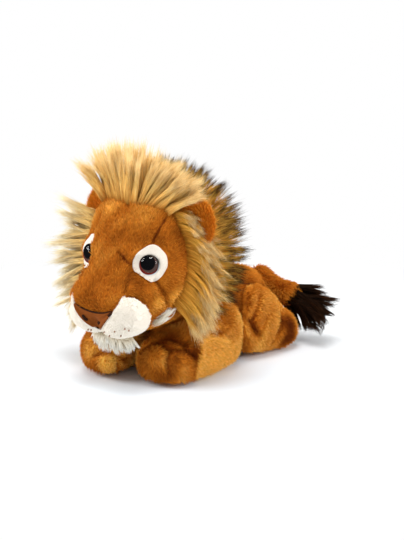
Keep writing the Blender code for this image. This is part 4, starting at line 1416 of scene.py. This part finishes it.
@dataclass
class Nose:
    """The felt nose, laid over the front of the snout and the pads, with stitches on it.

    Seen from the front its top edge is z = top + rise * u^2 and its lower edge z = low + drop * |u|^1.15,
    for u from -1 to 1 across.
    """

    half: float = 26.0 * MM
    top: float = 84.0 * MM
    rise: float = 5.4 * MM
    low: float = 64.0 * MM
    corner: float = 1.5 * MM
    bare_drop: float = 22 * MM
    bevel: float = 1.6 * MM
    foot: float = 0.4 * MM
    sunk: float = 2.0 * MM
    columns: int = 41
    rows: int = 17
    top_stitch: float = 0.8 * MM
    stitches: tuple[tuple[str, float, tuple[Mark, ...]], ...] = (
        ("nose_end_thread", 1.3 * MM, ((25.0, 88.0), (23.6, 85.6), (21.5, 84.0))),
        ("nostril_right_thread", 1.6 * MM, ((-14, 79.0), (-11, 75.8), (-8.4, 74.0))),
        ("nostril_left_thread", 1.6 * MM, ((8.5, 75.4), (5.0, 72.8), (1.0, 72.8))),
    )

    def covers(self, points: Array) -> Array:
        """Which points the nose lies over, from its top edge to a little under its lower one."""
        across, z = np.abs(points[:, 0]) / self.half, points[:, 2]
        top = self.top + self.rise * across ** 2
        return (across < 1) & (z < top) & (z > self.low + self.bare_drop * across) & (points[:, 1] < -0.13)

    def build(self, below: Sequence[Hide]) -> None:
        """Make the felt, eased over what it lies on so that it spans the seams, and its stitches."""
        trees = [hide.tree for hide in below]
        u = np.linspace(-1, 1, self.columns)[:, None]
        v = np.linspace(0, 1, self.rows)[None]
        upper = self.top + self.rise * u * u
        lower = self.low + (upper - self.corner - self.low) * np.abs(u) ** 1.15
        x = self.half * u * np.ones_like(v)
        z = lower + (upper - lower) * v
        y = self.laid(x, z, trees)
        beyond = np.pad(y, ((1, 1), (0, 0)), mode="edge")
        under = np.minimum(np.minimum(beyond[:-2], beyond[2:]), y)
        y = under.copy()
        for _ in range(6):
            y[1:-1, 1:-1] = (y[:-2, 1:-1] + y[2:, 1:-1] + y[1:-1, :-2] + y[1:-1, 2:]) / 4
        y = np.minimum(y, under)
        edge = np.minimum(1 - np.abs(u), np.minimum(v, 1 - v) * 0.8)
        proud = self.foot + self.bevel * np.clip(edge / 0.12, 0, 1) ** 0.5
        front = np.stack([x, y - proud, z], -1)
        back = np.stack([x, y + self.sunk, z], -1)
        points = np.concatenate([front.reshape(-1, 3), back.reshape(-1, 3)])
        triangles = outward(points, self.triangles())
        mesh = triangle_mesh("nose_felt_cover", points, triangles)
        dress(link(mesh.name, mesh, NOSE_FELT.build()), "head", "nose_felt", "nose_patch")

        seam = thread("nose_top_thread", front[1:-1, -1] - (0, 0.3 * MM, 0), self.top_stitch)
        dress(seam, "head", "nose_felt")
        trees.insert(0, BVHTree.FromPolygons(points.tolist(), triangles.tolist()))
        for name, radius, marks in self.stitches:
            across, high = np.array(marks).T * MM
            path = np.stack([across, self.laid(across, high, trees), high], -1)
            dress(thread(name, path, radius), "head", "nose_felt")

    def triangles(self) -> Array:
        """Corner numbers of a front and a back grid, joined by a band round their rims."""
        rows, columns = self.rows, self.columns
        face = grid_triangles(columns, rows, False)
        rim = np.concatenate([
            np.arange(rows), np.arange(1, columns) * rows + rows - 1,
            (columns - 1) * rows + np.arange(rows - 2, -1, -1), np.arange(columns - 2, 0, -1) * rows,
        ])
        ahead, shift = np.roll(rim, -1), columns * rows
        band = np.concatenate([
            np.stack([rim, ahead, rim + shift], -1), np.stack([ahead, ahead + shift, rim + shift], -1),
        ])
        return np.concatenate([face, face[:, ::-1] + shift, band[:, ::-1]])

    @staticmethod
    def laid(x: Array, z: Array, trees: Sequence[BVHTree]) -> Array:
        """The Y at which a fall from before the nose meets the first of some surfaces."""
        starts = np.stack([x, np.full_like(x, BEFORE_NOSE), z], -1)
        return fall(starts, (0, 1, 0), trees) + BEFORE_NOSE


@dataclass
class Beard:
    """White fur that hangs from the chin, and a longer tuft that sweeps back from each corner."""

    draw: Way = (0, 5 * MM, 7 * MM)
    strands: int = 3600
    length: float = 13 * MM
    root_band: tuple[float, float] = (46 * MM, 54 * MM)
    tuft_marks: tuple[Mark, Mark] = ((153, 321), (173, 306))
    tuft_strands: int = 240
    tuft_length: float = 20 * MM
    tuft_share: float = 0.40
    tuft_shift: tuple[float, float] = (1.5 * MM, -1.5 * MM)
    tuft_sides: tuple[tuple[Side, float, float], ...] = ((Side.LEFT, 0.9, 0.0), (Side.RIGHT, 0.4, 13 * MM))

    def build(self, head: Hide) -> None:
        """Make the core and the fur. A tuft's numbers are its share of the length and how far back it is."""
        node = "chin_beard"
        hide = Hide("beard_plush", (node,), node, 2.4 * MM, swell=-1.5 * MM)
        hide.points += np.array(self.draw)
        hide.refresh()
        hide.place(CREAM, "head", "white_plush", None, fill=0.4)
        count = self.strands
        roots, normals = hide.sample(count, 61, lambda p, n: 0.05 + smooth_step(p[:, 2], *self.root_band))
        apart = np.stack([roots[:, 0] * 14, np.full(count, 0.1), np.full(count, -0.9)], -1)
        first = unit(apart + normals * 0.25)
        last = unit(np.stack([roots[:, 0] * 12, np.full(count, 0.25), np.full(count, -1.0)], -1))
        locks = Locks("beard_fur", CREAM, count, 110, self.length, gather=0.45, seed=62)
        dress(locks.grow(roots, first, last, np.ones(count)), "head", "white_plush")

        rng = np.random.default_rng(63)
        start, end = map(head.hit, self.tuft_marks)
        count = self.tuft_strands
        for side, share, behind in self.tuft_sides:
            mirror = np.array((side.value, 1, 1))
            along = rng.random((count, 1)) ** 1.3 * self.tuft_share
            roots = start + (end - start) * along + rng.normal(size=(count, 3)) * 1.5 * MM
            roots = (roots + (self.tuft_shift[0], behind, self.tuft_shift[1])) * mirror
            way = unit((end - start) * mirror)
            first, last = (
                np.broadcast_to(unit(way + np.array(bend) * mirror), roots.shape)
                for bend in ((0.30, 0, -0.30), (0.10, 0.1, 0.45))
            )
            locks = Locks("beard_tuft_" + side.word, CREAM, count, 4, self.tuft_length, gather=0.95, seed=64)
            dress(locks.grow(roots, first, last, np.full(count, share)), "head", "white_plush")


@dataclass
class Head:
    """The head's hide with its pile, muzzle, nose, beard, eyes and ears."""

    pieces: Pieces
    spikes: int = 46000
    features: tuple[Crease | Lump, ...] = (
        Lump((17, -163, 96), 11 * MM, 5.0 * MM, True),
        Lump((34, -152, 98), 8 * MM, -3.5 * MM),
        Lump((0, -160, 104), 16 * MM, 2.0 * MM),
        Lump((27, -140, 136), 10 * MM, 3.0 * MM, True),
        Lump((40, -132, 129), 9 * MM, -2.0 * MM, True),
        Lump((59, -116, 128), 13 * MM, 4.5 * MM, True),
        Lump((-60, -113, 131), 12 * MM, 5.0 * MM),
        Lump((-38, -157, 93), 12 * MM, 6.0 * MM),
        Lump((-40, -140, 116), 9 * MM, -2.5 * MM),
        Lump((-30, -140, 142), 11 * MM, 3.0 * MM),
        Lump((-52, -108, 172), 20 * MM, 4.0 * MM),
        Crease(((0, -166, 72), (0, -160, 62), (0, -150, 50)), 8.5 * MM, 6 * MM),
        Lump((144, 286), 11 * MM, 4.5 * MM, True),
        Lump((176, 286), 13 * MM, 3.0 * MM, True),
        Lump((140, 222), 22 * MM, 2.0 * MM, True),
        Crease(((118, 253), (124, 259), (130, 265)), 4.0 * MM, 2.0 * MM),
        Crease(((131, 273), (127, 283), (124, 292)), 4.5 * MM, 2.0 * MM, True),
        Crease(((155, 281), (160, 288), (165, 295), (167, 304)), 6.5 * MM, 2.3 * MM, True),
        Crease(((166, 218), (159, 230), (153, 242)), 2.0 * MM, 1.5 * MM, True),
        Crease(((129, 200), (128, 206)), 2.0 * MM, 2.2 * MM),
    )
    # Painted shade along the creases and on the sides, and painted highlight on the cheeks, the brow and the
    # bridge.
    shades: tuple[Shade, ...] = (
        Shade((124, 257), 7 * MM, -0.4),
        Shade((132, 280), 7 * MM, -0.5, True),
        Shade((138, 288), 9 * MM, -0.3, True),
        Shade((157, 235), 9 * MM, -0.4, True),
        Shade((110, 207), 13 * MM, 0.75),
        Shade((145, 207), 14 * MM, 0.75),
        Shade((95, 222), 9 * MM, 0.75),
        Shade((176, 295), 9 * MM, 1.1, True),
        Shade((158, 303), 6 * MM, 1.2, True),
        Shade((150, 310), 5 * MM, 0.5, True),
        Shade((96, 258), 10 * MM, 0.35),
        Shade((180, 245), 12 * MM, -0.5, True),
        Shade((90, 294), 14 * MM, -0.35),
        Shade((100, 262), 9 * MM, 0.2),
    )
    hairline_marks: tuple[Mark, ...] = (
        (129, 201), (144, 202), (160, 205), (170, 211), (176, 223), (183, 238), (186, 254), (186, 272),
        (182, 288), (175, 299),
    )
    left_whiskers: tuple[Mark, ...] = (
        (105, 331.5), (110, 335), (115, 331), (121, 335), (125, 328.5), (129, 330)
    )
    right_whiskers: tuple[Mark, ...] = ((88.5, 328.7), (91.5, 329.2))
    hide: Hide = field(init=False)

    def __post_init__(self) -> None:
        """Lay out the pieces that come in pairs, left first, and the nose."""
        self.eyes = [Eye(self.pieces, side) for side in Side]
        self.ears = [
            Ear(self.pieces, Side.LEFT),
            Ear(self.pieces, Side.RIGHT, shorter=4.0 * MM, lower=3.0 * MM, front_zone=0.5),
        ]
        self.pads = [
            MuzzlePad(Side.LEFT, self.left_whiskers, wider=2.5 * MM),
            MuzzlePad(Side.RIGHT, self.right_whiskers, wider=-2.5 * MM, set_back=9 * MM),
        ]
        self.nose = Nose()

    def comb(self, points: Array) -> Array:
        """The pile runs from the nose up over the bridge and out and down over the cheeks."""
        x, _, z = points.T
        cheek = smooth_step(np.abs(x), 20 * MM, 48 * MM) * smooth_step(-z, -0.16, -0.10)
        up = np.stack([x * 9, np.full(len(x), 0.35), np.full(len(x), 1.0)], -1)
        down = np.stack([np.sign(x) * 0.9, np.full(len(x), 0.9), np.full(len(x), -0.8)], -1)
        return up * (1 - cheek[:, None]) + down * cheek[:, None]

    def zone(self, points: Array, normals: Array) -> Array:
        """Painted shade in the folds, painted highlight where the cheeks and the brow catch the light, and
        soft patches.
        """
        return self.hide.shading(self.shades, points) + 0.16 * mottle(points, 16 * MM, 24)

    def cover(self, points: Array, normals: Array) -> Array:
        """No pile stands under the eyes' felt and the nose, and less of it under the mane."""
        keep = np.ones(len(points))
        for eye in self.eyes:
            keep *= eye.bare(points)
        return keep * ~self.nose.covers(points) * (0.25 + 0.75 * smooth_step(-points[:, 1], 0.05, 0.09))

    def build(self) -> None:
        """Make every piece of the head but its mane."""
        hide = self.hide = Hide("head_plush", ("head_skin", "head_stuffing"), "head_stuffing", 1.8 * MM)
        hide.shape(self.features, mirror=True)
        hide.ripple(0.5 * MM, 30 * MM, 21)
        for eye in self.eyes:
            eye.seat(hide)
        hide.place(FACE, "head", "face_plush", self.zone, fill=0.8)
        pads = [pad.build(hide, self.nose) for pad in self.pads]
        points, normals = hide.sample(self.spikes, 22, self.cover)
        keep = ~np.any([pad.buried(points, 0.3 * MM) for pad in pads], axis=0)
        points, normals = points[keep], normals[keep]
        Pile("face_pile", FACE, length=4.4 * MM, width=0.5 * MM, seed=23).plant(
            points, normals, self.comb(points), "head", "face_plush", self.zone(points, normals),
            1 - 0.6 * hide.folded(points),
        )
        for eye, ear in zip(self.eyes, self.ears):
            eye.build(hide)
            ear.build()
        self.nose.build([hide, *pads])
        Beard().build(hide)

    def hairline(self, angles: Array) -> Array:
        """How far back (Y) the mane's front edge lies at angles from the crown, alike on both sides."""
        marks = [self.hide.hit(mark) for mark in self.hairline_marks]
        found = np.array([mark for mark in marks if mark is not None])
        low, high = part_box("head_skin")
        height = found[:, 2] - (low[2] + high[2]) / 2
        known = np.abs(np.arctan2(found[:, 0], height))
        order = np.argsort(known)
        return np.interp(np.abs(angles), known[order], found[order, 1])


@dataclass
class ManeStrip:
    """One strip of long fur along the head, from one angle to another, seen from the front.

    Its front edge follows the head's hairline, or lies at a share of the head's depth where along gives
    one. A direction's three numbers are shares of the way out from the head's middle, of back and of up.
    """

    name: str
    node: str
    finish: FurFinish
    angles: tuple[float, float]
    depth: float
    strands: int
    locks: int
    length: float
    first: Way
    last: Way
    seed: int
    slot: str = "mane_fur"
    along: float | None = None
    start_length: float = 1.0
    end_length: float = 1.0
    gather: float = 0.85
    width: float = 0.5 * MM
    # brightness: the strip's painted light level through the shade and glow tints, a painted highlight on the
    # crown and painted shade on the left cheek.
    tone: float = 0.0
    wander: float = 0.11
    ahead: float = 0.0
    rise_share: float = 1.0
    sweep: float = 0.0
    start_ways: tuple[Way, Way] | None = None

    def bed(self, head: Head, box: tuple[Vector, Vector], steps: int, rows: int) -> tuple[Array, Array]:
        """A grid of places on the head under the strip.

        Args:
            head: The head that it is sewn on.
            box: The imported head's box, which the places are shares of.
            steps: Places along the strip.
            rows: Places across it.

        Returns:
            The angle of each step, and the grid's places.
        """
        low, high = np.array(box[0]), np.array(box[1])
        angles = np.radians(np.linspace(*self.angles, steps))
        if self.along is None:
            edge = head.hairline(angles)
        else:
            edge = np.full(steps, low[1] + self.along * (high - low)[1])
        edge = edge - self.ahead
        grid = np.empty((steps, rows, 3))
        for i, angle in enumerate(angles):
            out = np.array((math.sin(angle), 0, math.cos(angle)))
            for j, offset in enumerate(np.linspace(0, 1, rows) * self.depth):
                start = np.array((0, edge[i] + offset, (low + high)[2] / 2))
                grid[i, j] = head.hide.leave(start, out)[0]
        return angles, grid

    def build(self, head: Head, box: tuple[Vector, Vector]) -> None:
        """Plant the strip's locks.

        The upward part of the way out counts by rise_share only. Past the middle of the head the locks are
        combed over to the lion's left by sweep, and near the strip's start they run in the start ways.

        Args:
            head: The head that it is sewn on.
            box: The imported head's box.
        """
        rng = np.random.default_rng(self.seed)
        steps, rows = 48, 5
        angles, grid = self.bed(head, box, steps, rows)
        s = rng.random(self.strands) * (steps - 1)
        w = rng.random(self.strands) * (rows - 1)
        i, j = np.minimum(s.astype(int), steps - 2), np.minimum(w.astype(int), rows - 2)
        a, b = (s - i)[:, None], (w - j)[:, None]
        roots = (
            grid[i, j] * (1 - a) * (1 - b) + grid[i + 1, j] * a * (1 - b)
            + grid[i, j + 1] * (1 - a) * b + grid[i + 1, j + 1] * a * b
        )
        share = s / (steps - 1)
        angle = angles[0] + (angles[-1] - angles[0]) * s / (steps - 1)
        out = np.stack([np.sin(angle), np.zeros_like(angle), np.cos(angle)], -1)
        out[:, 2] = np.where(out[:, 2] > 0, out[:, 2] * self.rise_share, out[:, 2])
        over = self.sweep * smooth_step(angle, 0.0, 0.45)[:, None] * np.array((0.9, 0.15, -0.35))
        near_start = (1 - share[:, None]) ** 4
        ways = []
        for k, way in enumerate((self.first, self.last)):
            ways.append(unit(out * way[0] + np.array((0, way[1], way[2])) + over * (0.5 + 0.5 * k)))
            if self.start_ways:
                ways[k] = unit(ways[k] * (1 - near_start) + np.array(self.start_ways[k]) * near_start)
        lengths = 1 + (self.start_length - 1) * (1 - share) ** 2 + (self.end_length - 1) * share ** 2
        # The strip's painted light level, and lighter and darker hairs at random.
        zone = self.tone + rng.normal(0, 0.25, self.strands)
        locks = Locks(
            self.name, self.finish, self.strands, self.locks, self.length, width=self.width,
            gather=self.gather, wander=self.wander, seed=self.seed + 1, room=head.pieces.room,
        )
        dress(locks.grow(roots, ways[0], ways[1], lengths, zone), "head", self.slot, self.node)


MANE_STRIPS = (
    ManeStrip(
        "crown_fur", "mane_crown", CROWN, angles=(-43, 42), depth=19 * MM, strands=8900, locks=140,
        length=55 * MM, first=(1.0, 0.05, 0.20), last=(1.25, 0.20, 0.1), seed=71, start_length=0.95,
        end_length=0.75, gather=0.88, wander=0.13, ahead=4.5 * MM, tone=0.1, sweep=1.0,
    ),
    ManeStrip(
        "cheek_fur_left", "mane_cheek_left", MANE, angles=(40, 128), depth=14 * MM, strands=7600, locks=130,
        length=58 * MM, first=(0.65, 0.42, -0.35), last=(0.25, 0.22, -1.0), seed=73, start_length=0.34,
        end_length=0.8, gather=0.75, tone=-0.2, start_ways=((1.0, -0.15, 0.30), (1.0, -0.1, -0.45)),
    ),
    ManeStrip(
        "cheek_fur_right", "mane_cheek_right", PALE_MANE, angles=(-58, -132), depth=14 * MM, strands=6400,
        locks=90, length=60 * MM, first=(1, -0.10, 0.0), last=(1.0, -0.12, -0.12), seed=75, gather=0.93,
        wander=0.19, rise_share=0.25,
    ),
    ManeStrip(
        "ruff_fur", "mane_ruff", DARK_MANE, angles=(-124, 124), depth=50 * MM, strands=9000, locks=330,
        length=43 * MM, first=(1, 0.25, 0), last=(1, 0.75, 0.1), seed=77, slot="dark_mane_fur", along=0.53,
        start_length=0.3, gather=0.92,
    ),
)


@dataclass
class Mane:
    """The crown, the two cheek strips and the dark-tipped ruff."""

    head: Head
    strips: tuple[ManeStrip, ...] = MANE_STRIPS

    def build(self) -> None:
        """Make the four strips."""
        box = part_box("head_skin")
        for strip in self.strips:
            strip.build(self.head, box)


@dataclass
class Leg:
    """One leg's hide and pile.

    The corner is two pixels on the edge at which the pile turns over, from the paw's front to its side.
    """

    name: str
    spikes: int
    seed: int
    features: tuple[Crease | Lump, ...] = ()
    shades: tuple[Shade, ...] = ()
    corner: tuple[Mark, Mark] | None = None
    corner_heights: tuple[float, float] = (38 * MM, 50 * MM)
    corner_reach: tuple[float, float] = (26 * MM, 13 * MM)
    hide: Hide = field(init=False)

    def comb(self, points: Array) -> Array:
        """The pile runs back from the paw and down towards the floor: (0, 0.8, -0.6)."""
        return np.broadcast_to(np.array((0.0, 0.8, -0.6)), points.shape)

    def zone(self, points: Array, normals: Array) -> Array:
        """Painted highlight on the outer side and painted shade on the front, the shades' painted shade and
        highlight, soft patches, and the painted shade and highlight at the corner.
        """
        front = smooth_step(-normals[:, 1], 0.3, 0.9)
        outer = smooth_step(np.abs(normals[:, 0]), 0.35, 0.9)
        patches = 0.25 * mottle(points, 22 * MM, self.seed)
        light = outer * 0.7 - front * 0.35 + patches + self.hide.shading(self.shades, points)
        return light + self.corner_shade_and_highlight(points)

    def corner_shade_and_highlight(self, points: Array) -> Array:
        """Painted shade on the inner side of the leg's corner, where the pile turns over, and painted
        highlight on its outer side.

        The corner is the plane through the camera and its two pixels, and the change fades away from it.
        """
        if not self.corner:
            return np.zeros(len(points))
        across = -unit(np.cross(CAMERA.ray(self.corner[0]), CAMERA.ray(self.corner[1])))
        aside = (points - CAMERA.place) @ across
        step = smooth_step(aside, -1.5 * MM, 2.0 * MM)
        fade = np.exp(-((aside / np.where(aside > 0, *self.corner_reach)) ** 2))
        low, high = self.corner_heights
        return (1.4 * step - 0.9 * (1 - step)) * fade * smooth_step(-points[:, 2], -high, -low)

    def build(self) -> None:
        """Make the hide and its pile."""
        skin, core = self.name + "_skin", self.name + "_stuffing"
        hide = self.hide = Hide(self.name + "_plush", (skin, core), core, 2.0 * MM)
        hide.shape(self.features)
        hide.ripple(0.8 * MM, 30 * MM, self.seed)
        hide.place(GOLDEN, self.name, "golden_plush", self.zone, depth=0.6)
        points, normals = hide.sample(self.spikes, self.seed + 1, lambda p, n: 0.05 + (n[:, 2] > -0.75))
        Pile(self.name + "_pile", GOLDEN, seed=self.seed + 2).plant(
            points, normals, self.comb(points), self.name, "golden_plush", self.zone(points, normals),
            1 - 0.6 * hide.folded(points),
        )


LEGS = (
    Leg(
        "foreleg_left", 26000, 101,
        features=(
            Crease(((197, 345), (199, 362), (200, 382)), -4.0 * MM, 5 * MM),
            Lump((180, 364), 9 * MM, 2.0 * MM),
            Lump((154, 358), 9 * MM, 5.0 * MM),
            Lump((222, 356), 15 * MM, 2.0 * MM),
            Crease(((168, 351), (166, 360), (167, 371)), 5.0 * MM, 2.6 * MM),
            Crease(((141, 352), (150, 346), (160, 345), (168, 351)), 4.5 * MM, 2.8 * MM),
            Crease(((168, 351), (182, 349), (193, 356)), 3.6 * MM, 2.8 * MM),
            Crease(((150, 344), (165, 340), (184, 345)), 3.0 * MM, 3 * MM),
            Crease(((212, 331), (230, 337), (243, 345)), 5.0 * MM, 3.5 * MM),
        ),
        # Painted shade in the paw's folds and on the upper leg, and a painted highlight on a toe.
        shades=(
            Shade((178, 358), 16 * MM, -0.35),
            Shade((168, 338), 14 * MM, -0.5),
            Shade((152, 347), 6 * MM, -0.5),
            Shade((154, 360), 6 * MM, 0.4),
            Shade((225, 320), 14 * MM, -1.1),
            Shade((186, 352), 9 * MM, -0.4),
        ),
        corner=((200.5, 345), (193.5, 385)),
    ),
    Leg(
        "foreleg_right", 22000, 111,
        features=(
            Lump((106, 363), 8 * MM, 4.0 * MM),
            Crease(((117, 357), (116, 364), (115, 372)), 5.0 * MM, 2.6 * MM),
            Crease(((94, 356), (106, 352), (117, 357), (128, 361), (136, 366)), 4.0 * MM, 2.8 * MM),
        ),
        # Painted shade in the paw's fold and painted highlight on the paw.
        shades=(
            Shade((127, 352), 9 * MM, -0.5),
            Shade((90, 350), 14 * MM, 1.3),
            Shade((104, 366), 9 * MM, 1.5),
            Shade((112, 352), 14 * MM, 0.5),
        ),
    ),
    Leg(
        "hindleg_left", 17000, 121,
        features=(
            Crease(((248, 321), (253, 329), (258, 336)), 6.0 * MM, 3.5 * MM),
            Crease(((250, 340), (245, 330), (243, 320)), -1.5 * MM, 3.0 * MM),
            Crease(((258, 336), (263, 328), (266, 318)), 2.0 * MM, 3.0 * MM),
            Crease(((252, 318), (257, 306), (259, 294)), 2.0 * MM, 3.0 * MM),
            Crease(((277, 303), (281.5, 313), (281.5, 322), (278, 333), (271, 344)), 6.5 * MM, 3.2 * MM),
        ),
        # Painted shade in the knee's fold and on the hind foot under the thigh.
        shades=(
            Shade((256, 330), 6 * MM, -0.9),
            Shade((286, 320), 9 * MM, -1.2),
            Shade((290, 327), 11 * MM, -2.0),
            Shade((283, 340), 9 * MM, -1.8),
            Shade((292, 338), 8 * MM, -1.2),
            Shade((262, 312), 22 * MM, -0.35),
        ),
    ),
    Leg("hindleg_right", 14000, 131),
)


@dataclass
class Tail:
    """The tail's hide, its pile and the dark tuft."""

    spikes: int = 8000
    sag: float = 5.0 * MM
    root_rise: float = 5.5 * MM
    comb: Way = (1.0, 0.1, -0.4)
    tuft_way: Way = (0.52, 0.60, -0.62)
    tuft_strands: int = 4200
    tuft_length: float = 36 * MM
    tuft_end: tuple[float, float] = (-20 * MM, -4 * MM)
    seam: float = 12 * MM

    def build(self) -> None:
        """Make the hide with its pile, and the tuft."""
        hide = Hide("tail_plush", ("tail_skin", "tail_stuffing"), "tail_stuffing", 2.4 * MM, swell=0.8 * MM)
        x = hide.points[:, 0]
        hide.points[:, 2] -= self.sag * smooth_step(x, 2 * MM, 20 * MM) * smooth_step(-x, -46 * MM, -26 * MM)
        hide.points[:, 2] += self.root_rise * smooth_step(-x, -14 * MM, 4 * MM)
        hide.refresh()
        hide.place(GOLDEN, "tail", "golden_plush", None, fill=0.8)
        points, normals = hide.sample(self.spikes, 91)
        comb = np.broadcast_to(np.array(self.comb), points.shape)
        Pile("tail_pile", GOLDEN, seed=92).plant(points, normals, comb, "tail", "golden_plush")
        self.tuft(hide)

    def tuft(self, tail: Hide) -> None:
        """Long dark fur: half of it on a core near the tail's end, and half on the end itself."""
        node = "tail_tuft"
        core = Hide("tuft_core", (node,), node, 3.0 * MM, swell=-5 * MM)
        core.place(TUFT, "tail", "tuft_fur", None, fill=0.3)
        way = unit(np.array(self.tuft_way))
        middle = core.points.mean(0)
        start = middle + way * ((core.points - middle) @ way).min()
        end = (tail.points @ way).max()
        half = self.tuft_strands // 2
        near = core.sample(half, 93, lambda p, n: 0.03 + smooth_step(-((p - start) @ way), *self.tuft_end))
        seam = tail.sample(half, 96, lambda p, n: (p @ way > end - self.seam) + 1e-6)
        roots, normals = np.concatenate([near[0], seam[0]]), np.concatenate([near[1], seam[1]])
        first = unit(way + normals * 0.40 + np.array((0.0, 0.0, 0.22)))
        last = unit(way + normals * 0.55 + np.array((0.0, 0.0, -0.20)))
        lengths = 1 - 0.35 * smooth_step((roots - start) @ way, 0, 30 * MM)
        zone = np.random.default_rng(95).normal(0, 0.4, self.tuft_strands)
        locks = Locks(
            "tuft_fur", TUFT, self.tuft_strands, 60, self.tuft_length, width=0.6 * MM, wander=0.18, seed=94
        )
        dress(locks.grow(roots, first, last, lengths, zone), "tail", "tuft_fur")


@dataclass
class Studio:
    """A white floor that fades into a white background, and three soft lamps."""

    reach: float = 6.0
    fade_start: float = 0.22
    fade_end: float = 0.50
    # mirrored: the strength of the dim emission that mirrors see in place of the floor and the world, a
    # painted reflection.
    mirrored: float = 0.06
    paint: Colour = (0.90, 0.92, 0.935)
    # A painted cool tint on the floor before the lion, against the orange light that the plush throws on it.
    cool_centre: Way = (0.04, -0.10, 0)
    cool_reach: float = 0.22
    cool_paint: Colour = (0.86, 0.92, 0.97)
    ambient: float = 0.55
    white: Colour = (1, 1, 1)
    lamps: tuple[tuple[str, float, float, Way], ...] = (
        ("top", 15, 0.7, (0.20, -0.35, 1.6)),
        ("right of view", 12, 0.8, (1.35, 0.35, 0.75)),
        ("left of view", 16, 0.8, (-1.15, -0.95, 0.85)),
    )

    def floor_material(self) -> bpy.types.Material:
        """White paint that the camera sees as pure white away from the object.

        It has a painted cool tint before the lion, against the orange light that the plush throws on it
        there.
        Mirrors see it as a dim emission, a painted reflection in place of the lit floor.
        """
        material = bpy.data.materials.new("studio_floor")
        tree = NodeTree(material)
        paint = tree.nodes["Principled BSDF"]
        place = tree.add("TexCoord").outputs["Object"]
        cool = tree.add("VectorMath", {0: place, 1: self.cool_centre}, operation="DISTANCE")
        stops = (self.cool_reach / 2, self.cool_paint), (self.cool_reach, self.paint)
        colour = tree.ramp(cool.outputs["Value"], *stops)
        tree.feed(paint, {"Base Color": colour, "Roughness": 0.9, "Specular IOR Level": 0.1})
        reach = tree.add("VectorMath", {0: place}, operation="LENGTH")
        fade = tree.add("MapRange", {
            "Value": reach.outputs["Value"], "From Min": self.fade_start, "From Max": self.fade_end,
        }, interpolation_type="SMOOTHSTEP")
        path = tree.add("LightPath").outputs
        seen = tree.add("Math", {0: fade.outputs["Result"], 1: path["Is Camera Ray"]}, operation="MULTIPLY")
        dull = tree.mixed(path["Is Glossy Ray"], paint, tree.add("Emission", {"Strength": self.mirrored}))
        mix = tree.mixed(seen.outputs["Value"], dull, tree.add("Emission"))
        tree.feed(tree.nodes["Material Output"], {"Surface": mix.outputs[0]})
        return material

    def build_world(self) -> None:
        """Even light all round, which the camera sees as white and a mirror as dim."""
        world = bpy.data.worlds.new("studio_world")
        bpy.context.scene.world = world
        tree = NodeTree(world)
        ambient = tree.nodes["Background"]
        tree.feed(ambient, {"Color": self.white, "Strength": self.ambient})
        path = tree.add("LightPath").outputs
        dim = tree.add("Background", {"Color": self.white, "Strength": self.mirrored})
        dull = tree.mixed(path["Is Glossy Ray"], ambient, dim)
        mix = tree.mixed(path["Is Camera Ray"], dull, tree.add("Background", {"Color": self.white}))
        tree.feed(tree.nodes["World Output"], {"Surface": mix.outputs[0]})

    def build(self) -> None:
        """Make the floor, the world and the lamps, each with its power, its size and its place."""
        r = self.reach
        points = np.array([(-r, -r, 0), (r, -r, 0), (r, r, 0), (-r, r, 0)])
        mesh = triangle_mesh("studio_floor", points, np.array([(0, 1, 2), (0, 2, 3)]))
        link(mesh.name, mesh, self.floor_material(), smooth=False)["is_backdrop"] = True
        self.build_world()
        for name, energy, size, place in self.lamps:
            lamp = bpy.data.lights.new(name, "AREA")
            lamp.energy = energy
            lamp.size = size
            obj = bpy.data.objects.new(name, lamp)
            aim = Vector(CAMERA.target) - Vector(place)
            obj.matrix_world = Matrix.Translation(place) @ aim.to_track_quat("-Z", "Y").to_matrix().to_4x4()
            bpy.context.scene.collection.objects.link(obj)


def main() -> None:
    """Dress the whole lion and set up its studio."""
    logging.basicConfig(level=logging.INFO, format="%(name)s: %(message)s")
    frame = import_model()
    cad_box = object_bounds()
    pieces = Pieces(frame, cad_box)
    Torso().build()
    head = Head(pieces)
    head.build()
    Mane(head).build()
    for leg in LEGS:
        leg.build()
    Tail().build()
    Studio().build()
    CAMERA.build()
    bpy.context.scene.view_settings.view_transform = "Standard"


if __name__ == "__main__":
    main()
